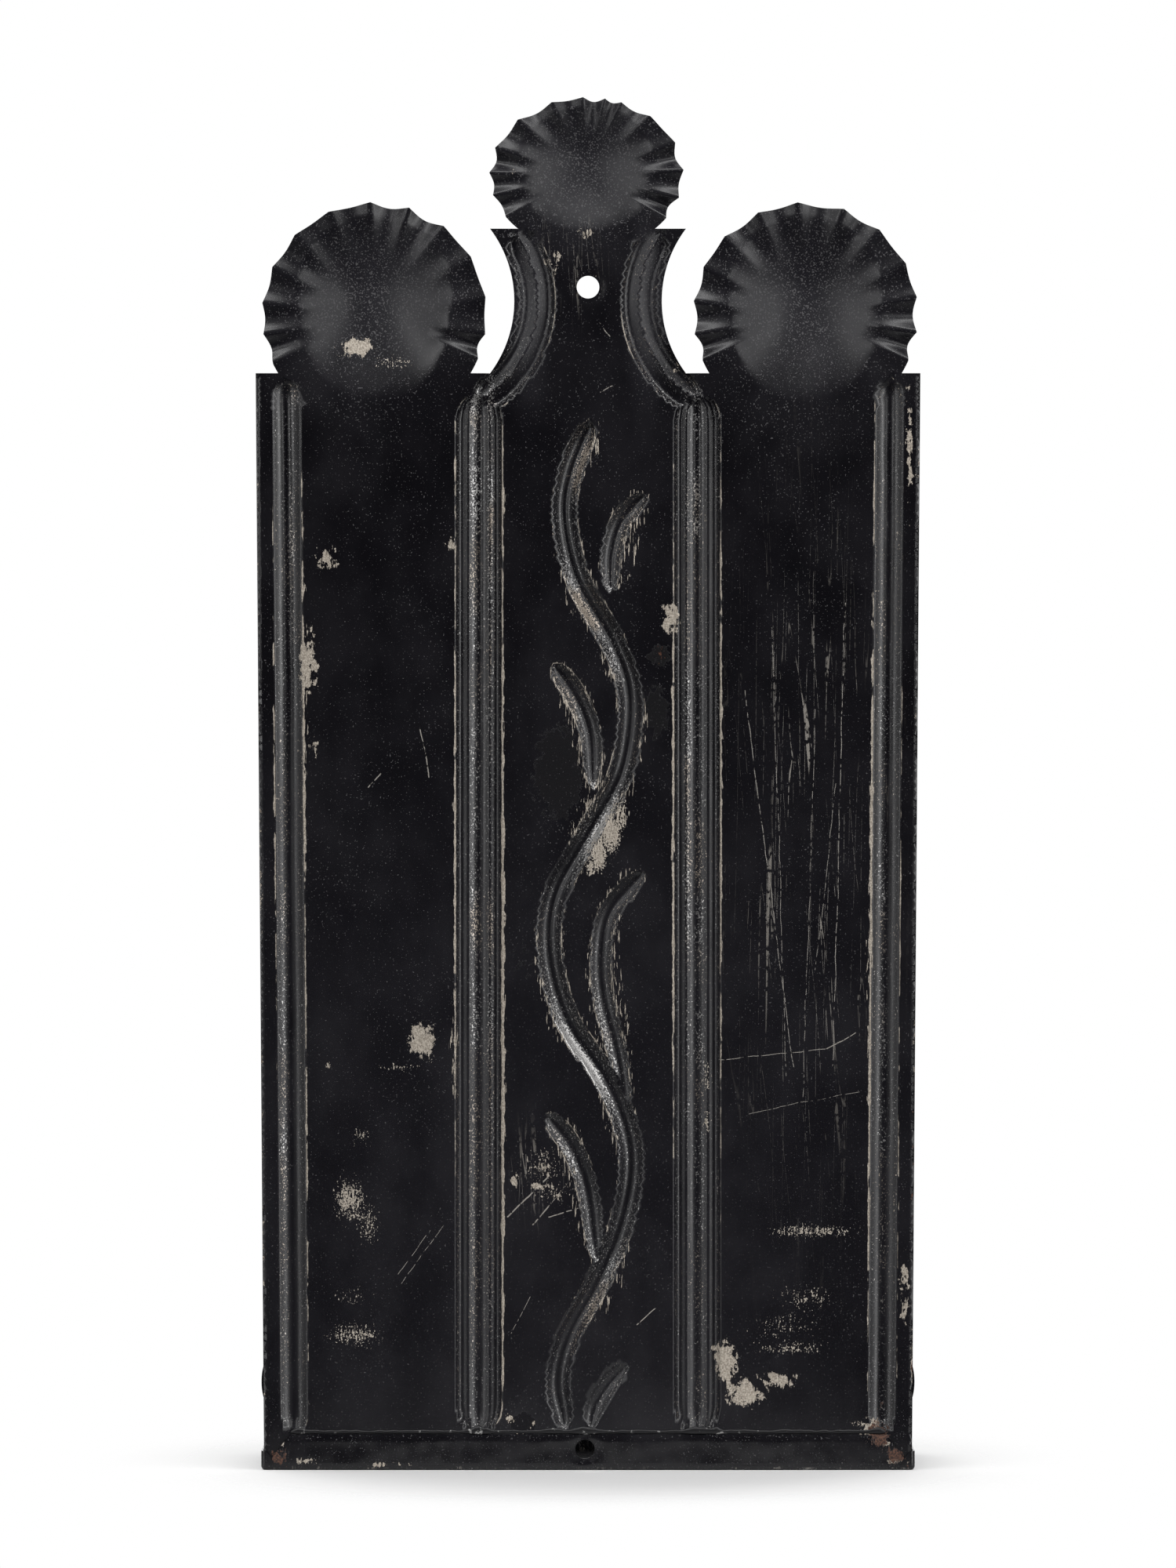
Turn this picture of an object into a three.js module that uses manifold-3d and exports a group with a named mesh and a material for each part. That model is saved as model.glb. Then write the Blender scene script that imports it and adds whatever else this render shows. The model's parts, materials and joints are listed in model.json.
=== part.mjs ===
// Two-candle wall sconce in black japanned tinplate, about 14 inches high.
// Millimetres, +Z up. The wall side looks along +Y and the candle side along -Y.
// Everything is drawn with the back face of the plate at y = 0, and the whole sconce is
// then centred on its own depth, with its foot at z = 0.

import * as THREE from 'three';
import { mergeVertices } from 'three/addons/utils/BufferGeometryUtils.js';
import Module from 'manifold-3d';

const wasm = await Module();
wasm.setup();

// Tinplate, and the clearance that soldered pieces keep from each other
const sheet = 0.45;
const seatGap = 0.3;
const overrun = 3;
const weldShare = 0.0001;

// Outline of the back plate
const plateTopWidth = 172.8;
const plateFootWidth = 168.4;
const panelTop = 285.4;
const neckRise = 37.6;
const neckWaist = 38.4;
const neckArcRadius = 31.2;
const hemWidth = 4;

// Nail holes: one in the neck to hang it by, one at the foot through plate and tray
const hangingHole = 5.9;
const hangingHoleDrop = 15.2;
const footHole = 5;
const footHoleHeight = 5.4;
const footHoleShift = 0.8;
const footHoleClearance = 0.4;

// Ribs swaged down the plate: a single round one along each edge, a double one inside it
const edgeRibWidth = 7.5;
const edgeRibDepth = 2;
const edgeRibMargin = 4.1;
const fieldRibWidth = 11.8;
const fieldRibDepth = 2.1;
const fieldRibSpacing = 56.8;
const ribTopGap = 2;
const ribFootGap = 1;
const ribRidgeShare = 0.45;
const ribRoundShare = 0.6;
const ribEndShare = 0.3;
const ribStepShares = [0, 0.15, 0.5, 1];

// Double moulding that follows the hollow sides of the neck
const neckMouldingWidth = 9;
const neckMouldingDepth = 1.8;
const neckMouldingWaist = 26.4;
const neckMouldingRadius = 29.6;
const neckMouldingTopGap = 1.6;
const neckMouldingEndShare = 0.6;

// Winding stem and leaves pressed into the middle field
const stemWidth = 6.6;
const stemDepth = 2.3;
const leafWidth = 5.7;
const leafDepth = 1.7;
const tendrilEndShare = 0.28;
const stemTailShare = 0.02;
const leafTailShare = 0.45;

// Crimped crests: a round one on each panel and a wider, lower one on the neck
const crestRadius = 29.3;
const crestRise = 15.2;
const leftCrestX = -56.6;
const rightCrestX = 55.6;
const crownX = 0.4;
const crownHalfWidth = 25.3;
const crownHalfHeight = 20;
const crownRise = 14.2;
const crestDishDepth = 5;
const crownDishDepth = 4;
const dishShare = 0.69;
const crestRingShares = [0.36, 0.56, dishShare, 0.83, 1];
const crimpStartShare = 0.58;
const crimpScallop = 1.3;
const crimpForward = 1.5;
const crimpBack = 0.6;

// Creases of each crest, crimped by eye, in degrees from its top and positive towards +X
const leftCreases = [-114, -99, -81, -63, -41, -20, 4, 25, 46, 65, 83, 100, 114];
const rightCreases = [-113, -100, -81, -59, -38, -18, 2, 24, 45, 65, 84, 100, 116];
const crownCreases = [-125, -108, -87, -66, -41, -21, -11, 2, 21, 45, 70, 89, 106, 124];

// Tray under the candles: a shallow pan with its back edge lapped up behind the plate
const trayDepth = 82;
const panWidth = 170.1;
const panLip = 5;
const panBend = 1.1;
const panRearCorner = 1.3;
const rearFlange = 9.2;
const mitreInset = 6;
const mitreSlit = 0.35;

// Wall of the tray, with a low bead under its rim and the rim rolled in over a wire
const trayWallHeight = 29.2;
const beadHeight = 8.9;
const beadRise = 0.7;
const wallCorner = 7;
const rimWire = 2;

// Candle sockets: rolled tubes on snipped feet, with a rolled lip and a lapped seam
const socketBore = 22.2;
const socketHeight = 29;
const socketSpacing = 112;
const socketFoot = 4.2;
const socketFootBend = 1;
const socketLip = 1.8;
const socketSeamWidth = 5;
const footTabs = 8;
const footSnip = 3;

// Solder
const socketFillet = 1.8;
const cornerFillet = 2.2;
const rearSeamHeight = 1.3;
const rearSeamProud = 0.7;
const rearSeamLeastShare = 0.75;
const rearSeamShoulderShares = { proud: 0.75, rise: 0.5 };
const solderBlobWidth = 5;
const solderBlobShare = 0.75;

// Places worked out from the sizes above
const plateFoot = sheet + seatGap;
const neckTop = panelTop + neckRise;
const hangingHoleHeight = neckTop - hangingHoleDrop;
const crestHeight = panelTop + crestRise;
const crownHeight = neckTop + crownRise;
const neckMid = (panelTop + neckTop) / 2;
const neckArcX = neckWaist / 2 + neckArcRadius;
const neckArcHalf = Math.asin((neckTop - neckMid) / neckArcRadius);
const fieldHalf = (fieldRibSpacing - fieldRibWidth) / 2;
const rearFace = seatGap + sheet;
const frontFace = rearFace - trayDepth;
const wallHalf = panWidth / 2 - sheet - seatGap - sheet / 2;
const wallRear = -2 * sheet - seatGap;
const wallFront = frontFace + sheet + seatGap + sheet / 2;
const curlRadius = rimWire / 2 + seatGap + sheet / 2;
const curlHeight = trayWallHeight - curlRadius - sheet / 2;
const socketY = (wallRear + wallFront) / 2;

const towardCandles = new THREE.Vector3(0, -1, 0);
const up = new THREE.Vector3(0, 0, 1);

// Triangles that fill a flat outline, wound the same way as the outline
function fillOutline(outline) {
  const filled = THREE.ShapeUtils.triangulateShape(outline, []);
  const [a, b, c] = filled[0].map((index) => outline[index]);
  const turn = (b.x - a.x) * (c.y - a.y) - (b.y - a.y) * (c.x - a.x);
  const sameWay = turn > 0 === THREE.ShapeUtils.area(outline) > 0;
  return filled.map(([p, q, r]) => (sameWay ? [p, q, r] : [p, r, q]));
}

// A closed geometry from points and triangles, turned so that its faces point out
function closedGeometry(points, triangles) {
  const volume = triangles.reduce((sum, [a, b, c]) => {
    const cross = new THREE.Vector3().crossVectors(points[b], points[c]);
    return sum + points[a].dot(cross);
  }, 0);
  const faces = triangles.map(([a, b, c]) => (volume > 0 ? [a, b, c] : [a, c, b]));
  const geometry = new THREE.BufferGeometry().setFromPoints(points);
  geometry.setIndex(faces.flat());
  return geometry;
}

// Rings of equal length joined side by side into a band of triangles
function bandTriangles(ringCount, ringLength) {
  const triangles = [];
  for (let ring = 0; ring < ringCount - 1; ring += 1) {
    for (let step = 0; step < ringLength; step += 1) {
      const a = ring * ringLength + step;
      const b = ring * ringLength + ((step + 1) % ringLength);
      triangles.push([a, b, a + ringLength], [b, b + ringLength, a + ringLength]);
    }
  }
  return triangles;
}

// Loft through rings of equal length, closed at both ends by the flat outline given
function loft(rings, outline) {
  const ringLength = rings[0].length;
  const last = (rings.length - 1) * ringLength;
  const triangles = bandTriangles(rings.length, ringLength);
  for (const [a, b, c] of fillOutline(outline)) {
    triangles.push([a, c, b], [last + a, last + b, last + c]);
  }
  return closedGeometry(rings.flat(), triangles);
}

// Loft through rings of equal length, closed at both ends by a fan to a pole
function loftToPoles(rings, firstPole, lastPole) {
  const ringLength = rings[0].length;
  const last = (rings.length - 1) * ringLength;
  const points = [...rings.flat(), firstPole, lastPole];
  const triangles = bandTriangles(rings.length, ringLength);
  for (let step = 0; step < ringLength; step += 1) {
    const next = (step + 1) % ringLength;
    triangles.push([points.length - 2, next, step]);
    triangles.push([points.length - 1, last + step, last + next]);
  }
  return closedGeometry(points, triangles);
}

// A flat section carried along stations, each with an origin and two directions
function sweep(stations, sectionAt) {
  const rings = stations.map((station) =>
    sectionAt(station).map((point) =>
      station.origin
        .clone()
        .addScaledVector(station.across, point.x)
        .addScaledVector(station.deep, point.y)
    )
  );
  return loft(rings, sectionAt(stations[0]));
}

// A closed geometry as a solid that can be joined and cut, and the way back
function solidOf(geometry) {
  const bare = geometry.clone();
  bare.deleteAttribute('normal');
  bare.deleteAttribute('uv');
  const merged = mergeVertices(bare, sheet * weldShare);
  const mesh = new wasm.Mesh({
    numProp: 3,
    vertProperties: Float32Array.from(merged.attributes.position.array),
    triVerts: Uint32Array.from(merged.index.array)
  });
  return new wasm.Manifold(mesh);
}

function geometryOf(solid) {
  const mesh = solid.getMesh();
  const geometry = new THREE.BufferGeometry();
  geometry.setAttribute('position', new THREE.BufferAttribute(mesh.vertProperties, 3));
  geometry.setIndex(new THREE.BufferAttribute(mesh.triVerts, 1));
  return geometry;
}

// An outline drawn in X and Z, as thick as asked, from y = back towards the candles
function upright(shape, thickness, back, curveSegments) {
  const settings = { depth: thickness, bevelEnabled: false, curveSegments };
  const geometry = new THREE.ExtrudeGeometry(shape, settings);
  geometry.rotateX(Math.PI / 2);
  geometry.translate(0, back, 0);
  return geometry;
}

// A round hole through a sheet that stands in X and Z
function holeTool(x, z, diameter) {
  const circle = new THREE.Shape();
  circle.absarc(x, z, diameter / 2, 0, 2 * Math.PI, false);
  return solidOf(upright(circle, 2 * overrun, overrun, 12));
}

// Half width of the plate at a height, which tapers a little towards the foot
function halfWidthAt(z) {
  const share = (z - plateFoot) / (panelTop - plateFoot);
  return THREE.MathUtils.lerp(plateFootWidth, plateTopWidth, share) / 2;
}

// Flat blank of the plate: two shoulders and a waisted neck, cut from one sheet
function plateBlank() {
  const cornerX = neckArcX - neckArcRadius * Math.cos(neckArcHalf);
  const outline = new THREE.Shape();
  outline.moveTo(-plateFootWidth / 2, plateFoot);
  outline.lineTo(plateFootWidth / 2, plateFoot);
  outline.lineTo(plateTopWidth / 2, panelTop);
  outline.lineTo(cornerX, panelTop);
  outline.absarc(neckArcX, neckMid, neckArcRadius, Math.PI + neckArcHalf, Math.PI - neckArcHalf, true);
  outline.lineTo(-cornerX, neckTop);
  outline.absarc(-neckArcX, neckMid, neckArcRadius, neckArcHalf, -neckArcHalf, true);
  outline.lineTo(-plateTopWidth / 2, panelTop);
  return solidOf(upright(outline, sheet, 0, 8));
}

// Long edges of the plate, folded over once to the candle side
function edgeHem(side) {
  const hem = new THREE.Shape();
  hem.moveTo(side * halfWidthAt(plateFoot), plateFoot);
  hem.lineTo(side * halfWidthAt(panelTop), panelTop);
  hem.lineTo(side * (halfWidthAt(panelTop) - hemWidth), panelTop);
  hem.lineTo(side * (halfWidthAt(plateFoot) - hemWidth), plateFoot);
  return solidOf(upright(hem, 1.5 * sheet, -sheet / 2, 1));
}

// Points of a shallow circular arc with this half width and rise
function arcPoints(half, rise, steps) {
  const radius = (half * half + rise * rise) / (2 * rise);
  const reach = Math.asin(Math.min(half / radius, 1));
  const points = [];
  for (let step = -steps; step <= steps; step += 1) {
    const angle = (reach * step) / steps;
    points.push(new THREE.Vector2(radius * Math.sin(angle), radius * Math.cos(angle) - radius + rise));
  }
  return points;
}

// Curve across a single round swage, at a share of its full size, grown by the sheet's
// thickness where its outer face is wanted
function singleSwage(width, depth) {
  return (share, grow) => arcPoints((width / 2) * share + grow, depth * share, 3);
}

// Curve across a double swage: two round grooves with a low ridge between them
function doubleSwage(width, depth) {
  return (share, grow) => {
    const half = (width / 2) * share + grow;
    const rise = depth * share;
    const ridge = rise * ribRidgeShare;
    const groove = arcPoints(half / 2, rise, 2);
    const left = groove.map((point, index) => {
      const inner = index > 2 ? ridge + (point.y * (rise - ridge)) / rise : point.y;
      return new THREE.Vector2(point.x - half / 2, inner);
    });
    const right = left.map((point) => new THREE.Vector2(-point.x, point.y)).reverse();
    return [...left, ...right.slice(1)];
  };
}

// Share of full size at a distance from the end of a swage, rounded like a quarter circle
function endShare(distance, roundLength, leastShare) {
  const run = THREE.MathUtils.clamp(distance / roundLength, 0, 1);
  return leastShare + (1 - leastShare) * Math.sqrt(1 - (1 - run) ** 2);
}

// Stations along a swage, from its points on the plate and the share of full size at each
function swageStations(points, shares, lengthen) {
  const last = points.length - 1;
  return points.map((point, index) => {
    const before = points[Math.max(index - 1, 0)];
    const after = points[Math.min(index + 1, last)];
    const along = new THREE.Vector2().subVectors(after, before).normalize();
    const push = (index === last ? lengthen : 0) - (index === 0 ? lengthen : 0);
    const origin = new THREE.Vector3(point.x + along.x * push, 0, point.y + along.y * push);
    const across = new THREE.Vector3(along.y, 0, -along.x);
    return { origin, across, deep: towardCandles, share: shares[index] };
  });
}

// A swage needs two solids: the swell on the candle side that is joined to the sheet, and
// the groove on the wall side that is then cut from it
function pressed(points, shares, curve) {
  const swell = sweep(swageStations(points, shares, sheet), (station) => {
    const face = curve(station.share, sheet).map((point) => new THREE.Vector2(point.x, point.y + sheet));
    const [first, last] = [face[0], face[face.length - 1]];
    return [...face, new THREE.Vector2(last.x, sheet / 2), new THREE.Vector2(first.x, sheet / 2)];
  });
  const groove = sweep(swageStations(points, shares, 0), (station) => {
    const face = curve(station.share, 0);
    const [first, last] = [face[0], face[face.length - 1]];
    return [...face, new THREE.Vector2(last.x, -overrun), new THREE.Vector2(first.x, -overrun)];
  });
  return { swell: solidOf(swell), groove: solidOf(groove) };
}

// Straight rib between two heights, following a line across the plate
function straightRib(xAt, foot, top, width, curve) {
  const roundLength = width * ribRoundShare;
  const heights = [
    ...ribStepShares.map((share) => foot + share * roundLength),
    ...ribStepShares.map((share) => top - share * roundLength).reverse()
  ];
  const points = heights.map((z) => new THREE.Vector2(xAt(z), z));
  const shares = heights.map((z) => endShare(Math.min(z - foot, top - z), roundLength, ribEndShare));
  return pressed(points, shares, curve);
}

// Where the neck moulding runs down into the double rib
const mouldingArcX = neckMouldingWaist / 2 + neckMouldingRadius;
const mouldingFootAngle = Math.acos((mouldingArcX - fieldRibSpacing / 2) / neckMouldingRadius);
const mouldingFoot = neckMid - neckMouldingRadius * Math.sin(mouldingFootAngle);
const mouldingTopAngle = Math.asin((neckTop - neckMouldingTopGap - neckMid) / neckMouldingRadius);

function neckMoulding(side) {
  const steps = 12;
  const points = [];
  const shares = [];
  for (let step = 0; step <= steps; step += 1) {
    const angle = THREE.MathUtils.lerp(-mouldingFootAngle, mouldingTopAngle, step / steps);
    const x = mouldingArcX - neckMouldingRadius * Math.cos(angle);
    points.push(new THREE.Vector2(side * x, neckMid + neckMouldingRadius * Math.sin(angle)));
    shares.push(step === 0 || step === steps ? neckMouldingEndShare : 1);
  }
  return pressed(points, shares, doubleSwage(neckMouldingWidth, neckMouldingDepth));
}

// Winding stem and leaves, as shares of the middle field: across from its centre line,
// and up from the foot to the panels' top
const stemShares = [
  [-0.02, 0.954], [0.2, 0.911], [0.27, 0.868], [0.11, 0.811], [-0.3, 0.753], [-0.49, 0.703],
  [-0.39, 0.638], [-0.01, 0.581], [0.38, 0.524], [0.44, 0.47], [0.23, 0.409], [-0.25, 0.351],
  [-0.5, 0.289], [-0.39, 0.225], [-0.09, 0.168], [0.21, 0.125], [0.35, 0.082], [0.26, 0.039]
];
const leafShares = [
  [[-0.65, 0.889], [-0.39, 0.866], [-0.27, 0.836], [-0.26, 0.803]],
  [[0.38, 0.733], [0.14, 0.706], [-0.03, 0.671], [-0.06, 0.624]],
  [[-0.62, 0.544], [-0.25, 0.509], [-0.15, 0.47], [-0.19, 0.427], [-0.34, 0.38], [-0.45, 0.33]],
  [[0.45, 0.323], [0.18, 0.293], [0, 0.255], [-0.11, 0.19]],
  [[-0.43, 0.096], [-0.23, 0.078], [-0.09, 0.06], [-0.02, 0.039]]
];

// A winding swage along a spline, rounded at its first end and drawn out at its last
function tendril(placeShares, steps, firstRound, tailShare, curve) {
  const controls = placeShares.map(
    ([across, rise]) => new THREE.Vector2(across * fieldHalf, rise * panelTop)
  );
  const spline = new THREE.SplineCurve(controls);
  const length = spline.getLength();
  const points = spline.getSpacedPoints(steps);
  const shares = points.map((_, index) => {
    const distance = (length * index) / steps;
    const first = endShare(distance, firstRound, tendrilEndShare);
    return Math.min(first, endShare(length - distance, tailShare * length, tendrilEndShare));
  });
  return pressed(points, shares, curve);
}

// Angles round a crest, with four steps from crease to crease and a plain stretch where the
// crest runs into the plate. Each comes with its swell: 0 on a crease, 1 midway to the next.
function crestSteps(creases) {
  const stepsPerCrimp = 4;
  const plainSteps = 12;
  const steps = [];
  creases.slice(1).forEach((crease, index) => {
    for (let step = 0; step < stepsPerCrimp; step += 1) {
      const share = step / stepsPerCrimp;
      const degrees = THREE.MathUtils.lerp(creases[index], crease, share);
      steps.push({ angle: THREE.MathUtils.degToRad(degrees), swell: Math.sin(Math.PI * share) });
    }
  });
  const [first, last] = [creases[0] + 360, creases[creases.length - 1]];
  for (let step = 0; step < plainSteps; step += 1) {
    const degrees = THREE.MathUtils.lerp(last, first, step / plainSteps);
    steps.push({ angle: THREE.MathUtils.degToRad(degrees), swell: 0 });
  }
  return steps;
}

// One crimped crest: a dished disc whose rim is pleated where it stands clear of the plate
function crest({ x, z, halfWidth, halfHeight, dishDepth, creases, edge }) {
  const steps = crestSteps(creases);
  const fadeAngle = Math.PI / 14;
  const freeAngle = Math.PI / 2 - Math.asin((edge - z) / halfHeight);

  const freeAt = (angle) => {
    const fromTop = Math.abs(Math.atan2(Math.sin(angle), Math.cos(angle)));
    return THREE.MathUtils.smoothstep(freeAngle - fromTop, 0, fadeAngle);
  };
  const depthAt = (share, { angle, swell }) => {
    const dish = share < dishShare ? dishDepth * (1 - (share / dishShare) ** 3) : 0;
    const fade = THREE.MathUtils.clamp((share - crimpStartShare) / (1 - crimpStartShare), 0, 1);
    return dish + fade * freeAt(angle) * (crimpForward * swell - crimpBack * (1 - swell));
  };
  const ring = (share, depthOf) =>
    steps.map((step) => {
      const scallop = share === 1 ? (crimpScallop / halfWidth) * step.swell * freeAt(step.angle) : 0;
      const reach = share - scallop;
      const px = x + halfWidth * reach * Math.sin(step.angle);
      const pz = z + halfHeight * reach * Math.cos(step.angle);
      return new THREE.Vector3(px, -depthOf(share, step), pz);
    });

  const wallFace = crestRingShares.map((share) => ring(share, depthAt));
  const outerDepth = (...at) => depthAt(...at) + sheet;
  const candleFace = crestRingShares.map((share) => ring(share, outerDepth)).reverse();
  const wallPole = new THREE.Vector3(x, -dishDepth, z);
  const candlePole = new THREE.Vector3(x, -dishDepth - sheet, z);
  const shell = loftToPoles([...wallFace, ...candleFace], wallPole, candlePole);

  const toolShares = crestRingShares.filter((share) => share <= dishShare);
  const toolFace = toolShares.map((share) => ring(share, (...at) => depthAt(...at) + sheet / 2));
  const toolBack = toolShares.map((share) => ring(share, () => -overrun)).reverse();
  const toolPole = new THREE.Vector3(x, -dishDepth - sheet / 2, z);
  const clearing = loftToPoles([...toolFace, ...toolBack], toolPole, new THREE.Vector3(x, overrun, z));
  return { shell: solidOf(shell), clearing: solidOf(clearing) };
}

function panelCrest(x, creases) {
  const half = { halfWidth: crestRadius, halfHeight: crestRadius };
  return crest({ x, z: crestHeight, ...half, dishDepth: crestDishDepth, creases, edge: panelTop });
}

function crown() {
  const half = { halfWidth: crownHalfWidth, halfHeight: crownHalfHeight };
  const place = { x: crownX, z: crownHeight, edge: neckTop };
  return crest({ ...place, ...half, dishDepth: crownDishDepth, creases: crownCreases });
}

function backPlate() {
  const crests = [panelCrest(leftCrestX, leftCreases), panelCrest(rightCrestX, rightCreases), crown()];
  const edgeRibInset = edgeRibMargin + edgeRibWidth / 2;
  const ribFoot = rearFlange + ribFootGap;
  const edgeRib = singleSwage(edgeRibWidth, edgeRibDepth);
  const fieldRib = doubleSwage(fieldRibWidth, fieldRibDepth);
  const stem = singleSwage(stemWidth, stemDepth);
  const leaf = singleSwage(leafWidth, leafDepth);
  const reliefs = [tendril(stemShares, 46, stemWidth, stemTailShare, stem)];
  for (const side of [-1, 1]) {
    const edgeX = (z) => side * (halfWidthAt(z) - edgeRibInset);
    const fieldX = () => (side * fieldRibSpacing) / 2;
    reliefs.push(straightRib(edgeX, ribFoot, panelTop - ribTopGap, edgeRibWidth, edgeRib));
    reliefs.push(straightRib(fieldX, ribFoot, mouldingFoot, fieldRibWidth / 2, fieldRib));
    reliefs.push(neckMoulding(side));
  }
  for (const placeShares of leafShares) {
    reliefs.push(tendril(placeShares, 3 * placeShares.length, leafWidth, leafTailShare, leaf));
  }

  let plate = plateBlank().add(edgeHem(-1)).add(edgeHem(1));
  for (const { clearing } of crests) plate = plate.subtract(clearing);
  for (const { shell } of crests) plate = plate.add(shell);
  for (const { swell } of reliefs) plate = plate.add(swell);
  for (const { groove } of reliefs) plate = plate.subtract(groove);
  plate = plate.subtract(holeTool(0, hangingHoleHeight, hangingHole));
  plate = plate.subtract(holeTool(footHoleShift, footHoleHeight, footHole));
  return geometryOf(plate);
}

// Plan of the pan, drawn in from its outer face by an inset: tight corners at the plate
// and round ones at the front
function panRing(inset, z) {
  const half = panWidth / 2;
  const frontCorner = wallCorner + sheet / 2 + seatGap + sheet;
  const corners = [
    { x: half - panRearCorner, y: rearFace - panRearCorner, radius: panRearCorner },
    { x: panRearCorner - half, y: rearFace - panRearCorner, radius: panRearCorner },
    { x: frontCorner - half, y: frontFace + frontCorner, radius: frontCorner },
    { x: half - frontCorner, y: frontFace + frontCorner, radius: frontCorner }
  ];
  const steps = 4;
  const points = [];
  corners.forEach((corner, quarter) => {
    const reach = corner.radius - inset;
    for (let step = 0; step <= steps; step += 1) {
      const angle = (Math.PI / 2) * (quarter + step / steps);
      const x = corner.x + reach * Math.cos(angle);
      points.push(new THREE.Vector3(x, corner.y + reach * Math.sin(angle), z));
    }
  });
  return points;
}

// Where the rear flange ends, at a height: a slanting cut down to the corner of the pan
function mitreAt(z) {
  const share = (z - panBend) / (rearFlange - panBend);
  return panWidth / 2 - panRearCorner - mitreInset * share;
}

// Pan with a low lip all round, whose back edge goes on up behind the plate as a flange
function trayPan() {
  const bendHalf = panBend * (1 - Math.SQRT1_2);
  const innerHalf = sheet + (panBend - sheet) * (1 - Math.SQRT1_2);
  const rings = [
    panRing(panBend, 0),
    panRing(bendHalf, bendHalf),
    panRing(0, panBend),
    panRing(0, panLip),
    panRing(sheet, panLip),
    panRing(sheet, panBend),
    panRing(innerHalf, innerHalf),
    panRing(panBend, sheet)
  ];
  const plan = rings[0].map((point) => new THREE.Vector2(point.x, point.y));
  const pan = solidOf(loft(rings, plan));

  const flange = new THREE.Shape();
  const overlap = panLip - panBend;
  flange.moveTo(-mitreAt(overlap), overlap);
  flange.lineTo(mitreAt(overlap), overlap);
  flange.lineTo(mitreAt(rearFlange), rearFlange);
  flange.lineTo(-mitreAt(rearFlange), rearFlange);
  let tray = pan.add(solidOf(upright(flange, sheet, rearFace, 1)));

  for (const side of [-1, 1]) {
    const slit = new THREE.Shape();
    slit.moveTo(side * mitreAt(panBend), panBend);
    slit.lineTo(side * (mitreAt(panBend) + mitreSlit), panBend);
    slit.lineTo(side * (mitreAt(rearFlange + overrun) + mitreSlit), rearFlange + overrun);
    slit.lineTo(side * mitreAt(rearFlange + overrun), rearFlange + overrun);
    tray = tray.subtract(solidOf(upright(slit, 2 * sheet, rearFace + sheet / 2, 1)));
  }
  const hole = holeTool(footHoleShift, footHoleHeight, footHole + footHoleClearance);
  return geometryOf(tray.subtract(hole));
}

// Section of a bent strip of sheet, from the line along its middle
function stripSection(middle, thickness) {
  const outer = [];
  const inner = [];
  middle.forEach((point, index) => {
    const before = middle[Math.max(index - 1, 0)];
    const after = middle[Math.min(index + 1, middle.length - 1)];
    const along = new THREE.Vector2().subVectors(after, before).normalize();
    const normal = new THREE.Vector2(along.y, -along.x).multiplyScalar(thickness / 2);
    outer.push(point.clone().add(normal));
    inner.push(point.clone().sub(normal));
  });
  return [...outer, ...inner.reverse()];
}

// Stations round the tray from the plate on one side to the plate on the other, with
// across pointing out of the tray
function wallStations() {
  const steps = 5;
  const stations = [];
  const addStation = (x, y, angle) => {
    const across = new THREE.Vector3(Math.cos(angle), Math.sin(angle), 0);
    stations.push({ origin: new THREE.Vector3(x, y, 0), across, deep: up });
  };
  addStation(wallHalf, wallRear, 0);
  for (const side of [1, -1]) {
    const startAngle = side > 0 ? 0 : -Math.PI / 2;
    const cornerX = side * (wallHalf - wallCorner);
    for (let step = 0; step <= steps; step += 1) {
      const angle = startAngle - (Math.PI / 2) * (step / steps);
      const x = cornerX + wallCorner * Math.cos(angle);
      addStation(x, wallFront + wallCorner + wallCorner * Math.sin(angle), angle);
    }
  }
  addStation(-wallHalf, wallRear, -Math.PI);
  return stations;
}

// Middle line of the tray wall: straight up, a low bead, then the rim rolled in
function wallMiddle() {
  const middle = [new THREE.Vector2(0, sheet + seatGap)];
  for (const point of arcPoints(beadHeight / 2, beadRise, 3)) {
    middle.push(new THREE.Vector2(point.y, curlHeight - beadHeight / 2 + point.x));
  }
  const curlSteps = 8;
  for (let step = 1; step <= curlSteps; step += 1) {
    const angle = ((Math.PI * 3) / 2) * (step / curlSteps);
    const a = curlRadius * (Math.cos(angle) - 1);
    middle.push(new THREE.Vector2(a, curlHeight + curlRadius * Math.sin(angle)));
  }
  return middle;
}

function trayWall() {
  const section = stripSection(wallMiddle(), sheet);
  return sweep(wallStations(), () => section);
}

function trayRimWire() {
  const sides = 8;
  const section = [];
  for (let side = 0; side < sides; side += 1) {
    const angle = (2 * Math.PI * side) / sides;
    const a = (rimWire / 2) * Math.cos(angle) - curlRadius;
    section.push(new THREE.Vector2(a, curlHeight + (rimWire / 2) * Math.sin(angle)));
  }
  return sweep(wallStations(), () => section);
}

// A section turned round the Z axis
function turned(section) {
  const roundSteps = 24;
  const geometry = new THREE.LatheGeometry([...section, section[0]], roundSteps);
  geometry.rotateX(Math.PI / 2);
  return geometry;
}

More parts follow.
